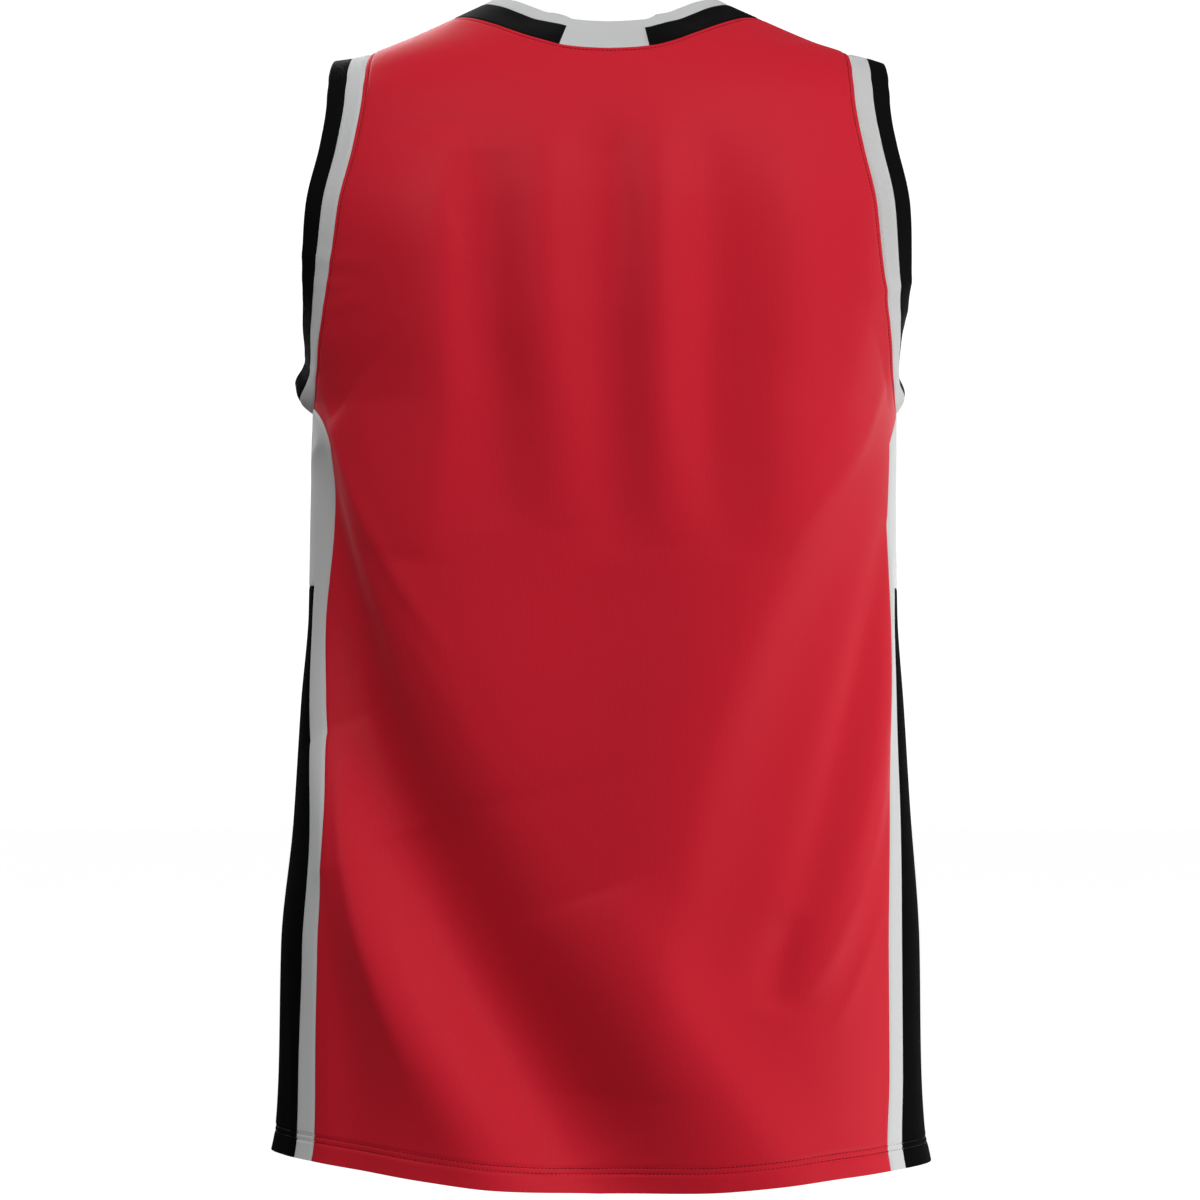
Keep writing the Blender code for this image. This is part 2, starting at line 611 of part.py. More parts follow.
def make_armhole(label, side, grids):
    """An armhole's band: a white strip sewn to the body, and a black strip along the free edge."""
    half = SEAM_GAP / 2
    column = 0 if side == LEFT else -1
    back = grids["back"][-ARMHOLE_ROWS - 1 :, column]
    front = grids["front"][-ARMHOLE_ROWS - 1 :, column]
    sewn = np.concatenate([grids[label][-1, :-1], front[:-1], back[::-1][:-1]])
    edge, outs = draped(sewn), evened(outward(sewn))
    share = (SHOULDER_TIP - sewn[:, 2]) / (SHOULDER_TIP - ARMHOLE_BOTTOM)
    strips = (ARMHOLE_STRIP, LEAN[label + "_strip"](share)), (ARMHOLE_EDGE, LEAN[label + "_edge"](share))
    lines, outs = band_lines(edge, outs, across_edge(edge, outs, edge.mean(axis=0)), strips)
    outs[0] = outward(sewn)
    strip, edge = slice(0, BAND_ROWS + 1), slice(BAND_ROWS, None)
    for name, colour, part in (("strip", "white", strip), ("edge", "black", edge)):
        grid = drawn_in(lines[part], half, half)
        cloth_piece(f"armhole_{name}_{label}", grid, outs[part], colour, closed=True)


def make_neck(grids):
    """The neck band: a white edge with a white block at the middle of the back, and a black stripe round the
    rest."""
    half = SEAM_GAP / 2
    neck = slice(SHOULDER_COLUMNS, -SHOULDER_COLUMNS)
    back, front = grids["back"][-1, neck], grids["front"][-1, neck][::-1]
    sewn = np.concatenate([back[:-1], front[:-1]])
    edge, outs = draped(sewn), evened(outward(sewn))
    inward = across_edge(edge, outs, NECK_CENTRE)
    across = np.abs(sewn[:, 0] - BODY["shift"](sewn[:, 2])) / NECK_HALF_WIDTH
    on_back = np.arange(len(sewn)) < len(back)
    inward[:, 0] *= np.where(on_back, LEAN["sideways"](across), 1)
    leans = [
        np.where(on_back, LEAN["back_" + strip](across), LEAN["front_" + strip](across))
        for strip in ("stripe", "edge")
    ]
    lines, outs = band_lines(edge, outs, unit(inward), list(zip((NECK_STRIPE, NECK_EDGE), leans)))
    outs[0] = outward(sewn)
    # The first column is moved to the block's end, so that the black stripe is one run of columns.
    lines, outs = (np.roll(grid, -(NECK_COLUMNS + BLOCK_COLUMNS), axis=1) for grid in (lines, outs))
    white = np.zeros((len(lines) - 1, len(sewn)), bool)
    white[BAND_ROWS:] = True
    white[:, -BLOCK_COLUMNS:] = True
    cloth_piece("neck_band_white", drawn_in(lines, half, half), outs, "white", cells=white, closed=True)
    stripe = slice(0, BAND_ROWS + 1), slice(0, len(sewn) - BLOCK_COLUMNS + 1)
    cloth_piece("neck_band_black", drawn_in(lines[stripe], half, SEAM_GAP, SEAM_GAP), outs[stripe], "black")


for piece in list(bpy.data.objects):
    bpy.data.objects.remove(piece)
JERSEY = bpy.data.collections.new("basketball_jersey")
bpy.context.scene.collection.children.link(JERSEY)
MATERIALS = {colour: material(colour) for colour in COLOURS}

GRIDS = {"left": side_grid(LEFT), "right": side_grid(RIGHT)}
SEAMS = {LEFT: GRIDS["left"], RIGHT: GRIDS["right"]}
GRIDS["back"] = panel_grid(BACK, SEAMS)
GRIDS["front"] = panel_grid(FRONT, SEAMS)
make_panel("back_panel", GRIDS["back"])
make_panel("front_panel", GRIDS["front"])
for label, side in (("left", LEFT), ("right", RIGHT)):
    make_side(label, GRIDS[label])
    make_armhole(label, side, GRIDS)
make_neck(GRIDS)
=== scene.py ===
"""Looks of a basketball jersey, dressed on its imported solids.

Metres, +Z up. The chest faces -Y and the back +Y, and the wearer's left side is at +X. The origin lies midway
between the two high shoulder points.
"""

import math
from collections import namedtuple

import bpy
import numpy as np
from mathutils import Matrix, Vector
from mathutils.bvhtree import BVHTree
from mathutils.kdtree import KDTree


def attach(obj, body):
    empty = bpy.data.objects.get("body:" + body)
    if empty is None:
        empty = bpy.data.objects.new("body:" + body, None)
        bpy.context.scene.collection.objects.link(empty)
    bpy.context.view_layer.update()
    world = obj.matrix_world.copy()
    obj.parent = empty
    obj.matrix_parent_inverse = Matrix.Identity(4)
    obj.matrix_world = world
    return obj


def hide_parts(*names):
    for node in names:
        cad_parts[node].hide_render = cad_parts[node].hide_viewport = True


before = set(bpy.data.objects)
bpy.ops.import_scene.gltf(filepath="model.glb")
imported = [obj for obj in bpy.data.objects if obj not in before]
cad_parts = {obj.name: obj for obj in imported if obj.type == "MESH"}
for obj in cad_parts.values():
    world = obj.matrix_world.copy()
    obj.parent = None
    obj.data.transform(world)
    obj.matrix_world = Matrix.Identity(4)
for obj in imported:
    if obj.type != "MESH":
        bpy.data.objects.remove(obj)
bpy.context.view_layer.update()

# ----------------------------------------
# Stage: a pale floor under a white room. Soft lights stand round the jersey: two high behind it, one low and
# one level at the wearer's right, one overhead and two in front. The jersey is where its wearer's shoulders
# hold it, so the floor lies well below its hem.

VIEW_DISTANCE = 2.4
VIEW_HEIGHT = -0.386
VIEW_ASIDE = 0.0027
VIEW_WIDTH = 0.7986  # what the camera takes in at the jersey's middle
SENSOR = 36  # millimetres
LIGHT_SIZE = 1.8
FLOOR_HEIGHT = -1.40
FLOOR_SIZE = 30
ROOM_RADIUS = 14
MIDDLE = (0, 0, -0.36)  # of the jersey, where the lights point
PALE = (0.9, 0.9, 0.9, 1)
WHITE_LIGHT = (1, 1, 1, 1)


def placed(name, data):
    """A new object in the scene."""
    made = bpy.data.objects.new(name, data)
    bpy.context.scene.collection.objects.link(made)
    return made


def fill_in(node, values):
    for socket, value in values.items():
        node.inputs[socket].default_value = value


def principled(name, values):
    """A new material, with values for its shader."""
    made = bpy.data.materials.new(name)
    made.use_nodes = True
    fill_in(made.node_tree.nodes["Principled BSDF"], values)
    return made


def camera():
    made = placed("camera", bpy.data.cameras.new("camera"))
    made.location = (VIEW_ASIDE, VIEW_DISTANCE, VIEW_HEIGHT)
    made.rotation_euler = (math.pi / 2, 0, math.pi)
    made.data.sensor_width = SENSOR
    made.data.lens = SENSOR * VIEW_DISTANCE / VIEW_WIDTH
    bpy.context.scene.camera = made


def soft_light(name, place, power, size=LIGHT_SIZE):
    """A square soft light, in watts, that points at the jersey's middle."""
    made = placed(name, bpy.data.lights.new(name, "AREA"))
    made.data.size = size
    made.data.energy = power
    made.location = place
    made.rotation_mode = "QUATERNION"
    made.rotation_quaternion = (Vector(MIDDLE) - Vector(place)).to_track_quat("-Z", "Y")
    made.visible_camera = False


def stage_piece(name, material, glow):
    """The active object as a pale, glowing piece of the stage, which throws no light on the cloth."""
    made = bpy.context.object
    made.name = name
    look = {"Base Color": PALE, "Roughness": 0.9, "Emission Color": WHITE_LIGHT, "Emission Strength": glow}
    made.data.materials.append(principled(material, look))
    made.visible_diffuse = made.visible_glossy = made.visible_shadow = False


camera()
soft_light("side_light", (-2.94, -0.52, -0.10), 16)
soft_light("upper_light", (-1.48, 1.76, 1.57), 32)
soft_light("low_light", (-1.53, 0.56, -1.30), 16, size=1.1)
soft_light("across_light", (1.48, 1.76, 1.57), 30)
soft_light("top_light", (0, 0.52, 2.59), 5)
soft_light("front_light", (1.2, -2.4, 1.0), 55)
soft_light("front_low_light", (-1.2, -2.2, -0.6), 20)
room = bpy.data.worlds.new("room")
room.use_nodes = True
fill_in(room.node_tree.nodes["Background"], {"Color": WHITE_LIGHT, "Strength": 0.12})
bpy.context.scene.world = room
bpy.ops.mesh.primitive_plane_add(size=FLOOR_SIZE, location=(0, 0, FLOOR_HEIGHT))
stage_piece("floor", "pale_floor", 0.88)
bpy.ops.mesh.primitive_uv_sphere_add(segments=48, ring_count=24, radius=ROOM_RADIUS, location=(0, 0, 0))
stage_piece("white_room", "white_wall", 1.0)
bpy.context.scene.view_settings.view_transform = "Standard"

# ----------------------------------------
# Back and front panels: smooth polyester knit with a satin face, a millimetre thick, each cut in one piece
# from the shoulders to the hem. They are sewn to each other at the shoulders, and elsewhere to the side
# panels and the bands. The cloth turns in at every seam, and hangs in long folds.

CLOTH = 0.001  # thickness of the cloth
SEAM_GAP = 0.0001  # between two pieces that are sewn together
SHOULDER_TIP = -0.0235  # height where the shoulder seam ends at the armhole
NECK_HALF_WIDTH = 0.1025  # high shoulder point to the middle
BACK_NECK_DROP = 0.0298
FRONT_NECK_DROP = 0.112
ARMHOLE_BOTTOM = -0.263
ARMHOLE_BACK = 0.074  # how far the armhole's edge reaches back from its middle
ARMHOLE_FRONT = 0.070
ARMHOLE_POWER = 2.2  # 2 for an ellipse, more for a squarer armhole
NECK_BLOCK = 0.0580  # white block at the middle of the back of the neck band, along its lower edge
SIDE_STRIPE = 0.015  # white stripe down each edge of a side panel
SIDE_TOP_HALF = 0.018  # half the width of a side panel where it meets the armhole
SIDE_CORNER = -0.284  # height where the side panel reaches its full width
INSERT_TOP = -0.378  # height of the black side insert's top edge
HEM_TILT = 0.017  # rise of the hem towards +X, metres a metre

# Rows and columns of the coarse grid that the cloth is first laid out on
INSERT_ROWS = 20  # hem to the insert's top
UPPER_SIDE_ROWS = 5  # on to the side panel's corners
SIDE_ROWS = INSERT_ROWS + UPPER_SIDE_ROWS + 1
ARMHOLE_ROWS = 16  # up one half of an armhole
PANEL_ROWS = SIDE_ROWS + ARMHOLE_ROWS
SHOULDER_COLUMNS = 4
NECK_COLUMNS = 7  # from the shoulder to the neck band's white block
BLOCK_COLUMNS = 4
PANEL_COLUMNS = 2 * (SHOULDER_COLUMNS + NECK_COLUMNS) + BLOCK_COLUMNS
INSERT_COLUMNS = 5
SIDE_COLUMNS = INSERT_COLUMNS + 2
CURVE_POINTS = 1200
RELAXINGS = 10

# The fine grid: steps in each coarse cell, and closer ones beside a seam and up a hem, as shares of a cell
FINE = 6
FROM_SEAM = (0.02, 0.05, 0.09, 0.14, 0.20, 0.28, 0.38, 0.50, 0.65, 0.82)
TO_SEAM = tuple(1 - step for step in reversed(FROM_SEAM))
SEAM_TO_SEAM = (0.03, 0.08, 0.15, 0.27, 0.42, 0.58, 0.73, 0.85, 0.92, 0.97)
HEM_STEPS = tuple(step / 15 for step in range(1, 15))


def table(columns, *rows):
    """Rows of named columns."""
    Row = namedtuple("Row", columns)
    return [Row(*row) for row in rows]


# The body form. A level section at each height is |x / half_width| ** power + |y / depth| ** power = 1, with
# one depth behind and another in front, moved sideways by shift.
SECTIONS = table(
    "height half_width back front power shift",
    (+0.0230, 0.0250, 0.0270, 0.0290, 1.60, -0.0010),
    (+0.0133, 0.0700, 0.0335, 0.0360, 1.80, -0.0010),
    (+0.0060, 0.0915, 0.0390, 0.0415, 1.90, -0.0012),
    (+0.0000, NECK_HALF_WIDTH, 0.0440, 0.0470, 2.00, -0.0014),
    (-0.0080, 0.1195, 0.0520, 0.0530, 2.00, -0.0018),
    (-0.0170, 0.1405, 0.0625, 0.0600, 2.00, -0.0020),
    (-0.0235, 0.1580, 0.0700, 0.0650, 2.00, -0.0035),
    (-0.0310, 0.1716, 0.0780, 0.0710, 2.00, -0.0032),
    (-0.0400, 0.1820, 0.0860, 0.0780, 2.00, -0.0030),
    (-0.0530, 0.1898, 0.0950, 0.0870, 2.05, -0.0028),
    (-0.0930, 0.2036, 0.1120, 0.1070, 2.12, -0.0024),
    (-0.1330, 0.2100, 0.1210, 0.1210, 2.18, -0.0020),
    (-0.1730, 0.2105, 0.1250, 0.1280, 2.20, -0.0012),
    (-0.2130, 0.2060, 0.1268, 0.1308, 2.24, -0.0006),
    (-0.2440, 0.1974, 0.1268, 0.1298, 2.28, -0.0004),
    (-0.2620, 0.1938, 0.1266, 0.1288, 2.31, -0.0004),
    (-0.2860, 0.1941, 0.1258, 0.1269, 2.35, +0.0000),
    (-0.3400, 0.1945, 0.1235, 0.1225, 2.49, +0.0008),
    (-0.3930, 0.1950, 0.1220, 0.1200, 2.65, +0.0008),
    (-0.4530, 0.1993, 0.1230, 0.1205, 2.75, +0.0012),
    (-0.5325, 0.2043, 0.1270, 0.1230, 2.80, +0.0012),
    (-0.6125, 0.2110, 0.1320, 0.1275, 2.80, +0.0025),
    (-0.6925, 0.2123, 0.1355, 0.1310, 2.80, +0.0027),
    (-0.7325, 0.2145, 0.1370, 0.1325, 2.80, +0.0027),
    (-0.7600, 0.2195, 0.1390, 0.1340, 2.80, +0.0027),
    (-0.8000, 0.2215, 0.1400, 0.1350, 2.80, +0.0027),
)

# Half the width of a side panel, and how far the cloth has turned round the body, both measured along Y
SIDE_PANEL = table(
    "height half_width turn",
    (-0.7800, 0.0970, 0.0000),
    (-0.7520, 0.0955, 0.0000),
    (-0.6925, 0.0905, 0.0015),
    (-0.6125, 0.0875, 0.0015),
    (-0.5325, 0.0795, 0.0040),
    (-0.4525, 0.0650, -0.0020),
    (-0.3930, 0.0525, -0.0045),
    (-0.3400, 0.0495, -0.0010),
    (-0.2840, 0.0520, 0.0080),
    (-0.2600, 0.0495, 0.0030),
)

# The hem's height by degrees round the body from the middle of the back or of the front
HEM = table(
    "degrees height",
    (0, -0.7596),
    (17, -0.7576),
    (28, -0.7541),
    (41, -0.7495),
    (55, -0.7475),
    (90, -0.7530),
)

# The neckline's height, as a share of its drop, by the share of its half width
NECKLINE = table(
    "across back front",
    (0.000, 1.000, 1.000),
    (0.125, 0.980, 0.985),
    (0.277, 0.916, 0.940),
    (0.429, 0.750, 0.862),
    (0.582, 0.520, 0.745),
    (0.740, 0.260, 0.570),
    (0.900, 0.050, 0.315),
    (0.970, 0.005, 0.135),
    (1.000, 0.000, 0.000),
)

# A fold runs along a curve from start by middle to end, each given as degrees round the body from the middle
# of the back (towards +X) and a height. It stands out of the cloth by rise, or dips in if rise is negative.
# A fold that runs down has the width plus on the side of more degrees and the width minus on the other.
FOLDS = table(
    "start middle end plus minus rise",
    ((70, -0.285), (37, -0.53), (-18, -0.85), 0.032, 0.038, -0.0265),
    ((34, -0.53), (21, -0.625), (2, -0.74), 0.024, 0.036, -0.007),
    ((62, -0.27), (43, -0.375), (27, -0.52), 0.018, 0.07, +0.009),
    ((58, -0.47), (36, -0.62), (10, -0.8), 0.024, 0.034, +0.011),
    ((51, -0.56), (44, -0.66), (42, -0.8), 0.014, 0.018, -0.005),
    ((-62, -0.24), (-24, -0.42), (-7, -0.7), 0.055, 0.026, +0.012),
    ((0, -0.57), (-15, -0.67), (-33, -0.77), 0.04, 0.025, +0.009),
    ((-67, -0.33), (-46, -0.46), (-29, -0.65), 0.012, 0.014, -0.0035),
    ((-69, -0.34), (-54, -0.48), (-33, -0.64), 0.016, 0.014, +0.0045),
    ((31, -0.08), (29, -0.2), (34, -0.36), 0.04, 0.015, +0.008),
    ((22, -0.1), (21, -0.2), (20, -0.34), 0.015, 0.015, -0.0045),
    ((12, -0.05), (11, -0.18), (8, -0.34), 0.018, 0.016, +0.0055),
    ((1, -0.06), (0, -0.19), (-2, -0.36), 0.015, 0.015, -0.005),
    ((-10, -0.06), (-9, -0.19), (-12, -0.35), 0.014, 0.016, +0.0055),
    ((-18, -0.08), (-19, -0.21), (-22, -0.36), 0.015, 0.018, -0.0055),
    ((-32, -0.08), (-34, -0.21), (-33, -0.36), 0.02, 0.024, +0.0055),
    ((-50, -0.08), (-50, -0.19), (-44, -0.31), 0.024, 0.02, +0.003),
    ((57, -0.15), (42, -0.145), (27, -0.135), 0.035, 0.035, +0.0035),
    ((117, -0.33), (147, -0.56), (191, -0.79), 0.034, 0.03, -0.015),
    ((123, -0.44), (144, -0.62), (165, -0.8), 0.03, 0.022, +0.008),
    ((142, -0.4), (170, -0.6), (213, -0.8), 0.04, 0.04, +0.005),
    ((243, -0.33), (222, -0.5), (213, -0.68), 0.024, 0.034, +0.008),
    ((231, -0.12), (222, -0.23), (208, -0.38), 0.022, 0.026, -0.005),
    ((129, -0.12), (138, -0.23), (152, -0.38), 0.026, 0.022, -0.005),
    ((166, -0.17), (169, -0.28), (167, -0.42), 0.018, 0.016, +0.004),
    ((192, -0.17), (194, -0.29), (198, -0.44), 0.016, 0.018, +0.004),
    # Small creases
    ((71, -0.235), (50, -0.32), (26, -0.43), 0.0045, 0.008, +0.0016),
    ((38, -0.395), (29, -0.44), (18, -0.51), 0.006, 0.01, +0.0005),
    ((53, -0.485), (44, -0.575), (31, -0.69), 0.0045, 0.008, +0.0022),
    ((-66, -0.24), (-48, -0.303), (-32, -0.35), 0.008, 0.006, +0.001),
    ((-58, -0.48), (-46, -0.572), (-34, -0.64), 0.005, 0.005, +0.0009),
    ((-53, -0.575), (-46, -0.62), (-39, -0.662), 0.005, 0.005, +0.0008),
    ((-33, -0.585), (-30, -0.615), (-28, -0.645), 0.013, 0.009, -0.003),
    ((-2, -0.08), (-3, -0.125), (-4, -0.175), 0.008, 0.006, -0.001),
    ((59, -0.166), (51, -0.169), (43, -0.172), 0.005, 0.006, +0.0008),
    ((59, -0.181), (52, -0.184), (46, -0.184), 0.005, 0.005, +0.0007),
    ((59, -0.197), (51, -0.195), (44, -0.192), 0.006, 0.005, +0.0008),
    ((-62, -0.181), (-56, -0.186), (-50, -0.191), 0.005, 0.005, +0.0009),
    ((-62, -0.205), (-56, -0.207), (-50, -0.206), 0.005, 0.005, +0.0006),
    ((34, -0.776), (8, -0.778), (-22, -0.778), 0.022, 0.022, +0.006),
    ((62, -0.63), (58, -0.715), (57, -0.81), 0.01, 0.013, +0.0024),
    ((121, -0.181), (127, -0.186), (133, -0.191), 0.005, 0.005, +0.0009),
    ((121, -0.204), (127, -0.206), (133, -0.206), 0.006, 0.005, +0.0007),
    ((239, -0.166), (232, -0.169), (224, -0.172), 0.005, 0.006, +0.0008),
    ((239, -0.19), (231, -0.191), (225, -0.19), 0.005, 0.005, +0.0007),
    ((116, -0.255), (133, -0.34), (151, -0.44), 0.009, 0.005, +0.0012),
    ((125, -0.52), (137, -0.6), (152, -0.7), 0.009, 0.005, +0.0013),
    ((244, -0.25), (226, -0.31), (209, -0.37), 0.006, 0.008, +0.001),
    ((237, -0.5), (224, -0.585), (209, -0.66), 0.005, 0.005, +0.0009),
    ((96, -0.31), (92, -0.345), (87, -0.372), 0.008, 0.008, -0.001),
)
FOLD_REACH = 2.6  # how many of its widths away a fold can still be felt
FOLD_END = 0.7  # 1 for a fold that rises slowly at its ends, less for one that rises soon
FOLD_RADIUS = 0.17  # turns degrees round the body into metres along the cloth
FOLD_STEPS = 16  # straight stretches that a fold's curve is measured along
CALM_ABOVE = -0.04  # no fold reaches above this height
CALM_FADE = 0.06

LEFT, RIGHT = +1, -1  # the wearer's sides, along X
BACK, FRONT = +1, -1  # along Y
SEAM_COLUMN = {BACK: 0, FRONT: SIDE_COLUMNS}  # of a side panel's grid, next to the back or the front
HALF_GAP = SEAM_GAP / 2
SHARP_EDGE = math.radians(60)  # the rims of a cloth are sharp, its folds smooth


def smooth_through(places, values):
    """A smooth function through values, which never overshoots them (a monotone cubic)."""
    order = np.argsort(places)
    places, values = np.array(places, float)[order], np.array(values, float)[order]
    step = np.diff(places)
    rise = np.diff(values) / step
    slope = np.concatenate([rise[:1], np.zeros(len(rise) - 1), rise[-1:]])
    for i in range(1, len(rise)):
        if rise[i - 1] * rise[i] > 0:
            before, after = 2 * step[i] + step[i - 1], step[i] + 2 * step[i - 1]
            slope[i] = (before + after) / (before / rise[i - 1] + after / rise[i])

    def value(at):
        i = np.clip(np.searchsorted(places, at, side="right") - 1, 0, len(step) - 1)
        t = np.clip((at - places[i]) / step[i], 0, 1)
        start = values[i] * (1 + 2 * t) + slope[i] * step[i] * t
        end = values[i + 1] * (3 - 2 * t) - slope[i + 1] * step[i] * (1 - t)
        return start * (1 - t) ** 2 + end * t**2

    return value


def smooth_columns(table):
    """A smooth function for each column of a table but the first, of the first column."""
    first, *others = table[0]._fields
    places = [getattr(row, first) for row in table]
    return {name: smooth_through(places, [getattr(row, name) for row in table]) for name in others}


BODY = smooth_columns(SECTIONS)
SIDE = smooth_columns(SIDE_PANEL)
HEM_HEIGHT = smooth_columns(HEM)["height"]
NECK_DROP = smooth_columns(NECKLINE)


def depth_at(height, y):
    """The section's depth on the side of the body that y is on."""
    return np.where(y >= 0, BODY["back"](height), BODY["front"](height))


def side_point(y, height, side):
    """A point of the body form on its left or right side, seen from that side."""
    power = BODY["power"](height)
    share = np.clip(1 - np.abs(y / depth_at(height, y)) ** power, 0, 1)
    x = BODY["shift"](height) + side * BODY["half_width"](height) * share ** (1 / power)
    return np.stack([x, y + 0 * x, height + 0 * x], axis=-1)


def face_point(x, height, face):
    """A point of the body form on its back or front, seen from there."""
    power = BODY["power"](height)
    share = np.clip(1 - np.abs((x - BODY["shift"](height)) / BODY["half_width"](height)) ** power, 0, 1)
    y = face * depth_at(height, face) * share ** (1 / power)
    return np.stack([x, y, height + 0 * x], axis=-1)


def ring_point(degrees, height):
    """A point of the body form, by the angle round it from the middle of the back towards +X."""
    across, along = np.sin(np.radians(degrees)), np.cos(np.radians(degrees))
    power = BODY["power"](height)
    reach = (np.abs(across) ** power + np.abs(along) ** power) ** (-1 / power)
    x = BODY["shift"](height) + BODY["half_width"](height) * reach * across
    y = depth_at(height, along) * reach * along
    return np.stack([x, y, height + 0 * x], axis=-1)


def shares(points):
    """How far out points are across and back, as shares of their section's half width and depth."""
    x, y, height = np.moveaxis(points, -1, 0)
    return (x - BODY["shift"](height)) / BODY["half_width"](height), y / depth_at(height, y)


def degrees_round(points):
    """The angle round the body of points on it, from the middle of the back towards +X."""
    return np.degrees(np.arctan2(*shares(points)))


def level_of(points):
    """1 on the body form, less inside it and more outside."""
    power = BODY["power"](points[..., 2])
    return sum(np.abs(share) ** power for share in shares(points))


def level_slope(points):
    probe = 0.0005
    slope = [level_of(points + step) - level_of(points - step) for step in probe * np.eye(3)]
    return np.stack(slope, axis=-1) / (2 * probe)


def unit(vectors):
    return vectors / np.linalg.norm(vectors, axis=-1, keepdims=True)


def outward(points):
    """The body form's outward direction."""
    return unit(level_slope(points))


def laid_on_body(points, rounds=12):
    """Points moved onto the body form by the shortest way."""
    for _ in range(rounds):
        slope = level_slope(points)
        step = (1 - level_of(points)) / np.sum(slope**2, axis=-1)
        points = points + slope * step[..., None]
    return points


def fold_rise(fold, degrees, height):
    """How far one fold lifts the cloth at each place."""
    share = np.linspace(0, 1, FOLD_STEPS + 1)
    start, middle, end = (np.array([math.radians(a) * FOLD_RADIUS, h]) for a, h in fold[:3])
    bend = 2 * middle - (start + end) / 2
    weights = (1 - share) ** 2, 2 * share * (1 - share), share**2
    line = sum(np.outer(weight, place) for weight, place in zip(weights, (start, bend, end)))
    round_body = math.degrees(line[:, 0].mean() / FOLD_RADIUS)
    degrees = round_body + (degrees - round_body + 180) % 360 - 180
    places = np.stack([np.radians(degrees) * FOLD_RADIUS, height], axis=-1)
    reach = FOLD_REACH * max(fold.plus, fold.minus)
    low, high = line.min(axis=0) - reach, line.max(axis=0) + reach
    near = np.all((places > low) & (places < high), axis=-1)
    run = np.diff(line, axis=0)
    away = places[near][:, None] - line[:-1]
    share = np.clip(np.sum(away * run, axis=-1) / np.sum(run**2, axis=-1), 0, 1)
    distance = np.linalg.norm(away - share[..., None] * run, axis=-1)
    step = distance.argmin(axis=1)
    nearest = np.arange(len(step)), step
    along = (step + share[nearest]) / FOLD_STEPS
    (right, up), (right_away, up_away) = run[step].T, away[nearest].T
    on_plus = right * up_away > up * right_away
    width = np.where(on_plus, fold.plus, fold.minus)
    rise = np.zeros(height.shape)
    rise[near] = fold.rise * np.sin(np.pi * along) ** FOLD_END * np.exp(-((distance[nearest] / width) ** 2))
    return rise


def draped(points):
    """Points of the body form moved out or in by the folds."""
    height = points[..., 2]
    degrees = degrees_round(points)
    rise = sum(fold_rise(fold, degrees, height) for fold in FOLDS)
    rise = rise * np.clip((CALM_ABOVE - height) / CALM_FADE, 0, 1)
    return points + outward(points) * rise[..., None]


def places(cells, own=None):
    """Places along a run of coarse cells, counted in cells: even steps, or those that own gives a cell."""
    even = tuple(step / FINE for step in range(1, FINE))
    own = {cell % cells: steps for cell, steps in (own or {}).items()}
    return np.array([i + step for i in range(cells) for step in (0, *own.get(i, even))] + [cells], float)


def lengths(points, axis=0):
    """How far each point is from the start of its line."""
    first = np.take(points, [0], axis)
    return np.cumsum(np.linalg.norm(np.diff(points, axis=axis, prepend=first), axis=-1), axis=axis)


def along(parts, counts, at):
    """Points on a line in parts, at places counted in cells. Each part has a count of even cells."""
    points, done = np.empty((len(at), 3)), 0
    for part, count in zip(parts, counts):
        length = lengths(part)
        inside = (at >= done) & (at <= done + count)
        gone = (at[inside] - done) / count * length[-1]
        points[inside] = np.stack([np.interp(gone, length, column) for column in part.T], axis=-1)
        done += count
    return points


def hem_height(degrees, x):
    from_middle = 90 - np.abs(90 - np.abs(degrees) % 180)
    return HEM_HEIGHT(from_middle) + HEM_TILT * x


def armhole_reach(face):
    return np.where(face == BACK, ARMHOLE_BACK, ARMHOLE_FRONT)


def armhole_point(turn, side, face):
    """A point of one half of an armhole's edge, by its angle up from the armhole's middle, in radians."""
    middle, half = (SHOULDER_TIP + ARMHOLE_BOTTOM) / 2, (SHOULDER_TIP - ARMHOLE_BOTTOM) / 2
    root = 2 / ARMHOLE_POWER
    y = face * armhole_reach(face) * np.sign(np.cos(turn)) * np.abs(np.cos(turn)) ** root
    height = middle + half * np.sign(np.sin(turn)) * np.abs(np.sin(turn)) ** root
    return side_point(y, height, side)


def armhole_turn(y, face):
    """The angle at which the armhole's lower edge passes a depth, in radians."""
    share = np.clip(np.abs(y / armhole_reach(face)), 0, 1)
    return -math.pi / 2 + face * np.sign(y) * np.arcsin(share ** (ARMHOLE_POWER / 2))


def side_seam_depth(height, side, face):
    """How far back the seam between a side panel and the back or front lies."""
    roof = np.clip((height - SIDE_CORNER) / (ARMHOLE_BOTTOM - SIDE_CORNER), 0, 1)
    half = SIDE["half_width"](height) * (1 - roof) + SIDE_TOP_HALF * roof
    return face * half + side * SIDE["turn"](height)


def stepped_round(y, height, side, distance):
    """The depth reached from a depth by going a distance round the side of the body."""
    start = side_point(y, height, side)
    reached = y + distance
    for _ in range(6):
        gone = np.linalg.norm(side_point(reached, height, side) - start)
        reached = y + (reached - y) * abs(distance) / gone
    return reached


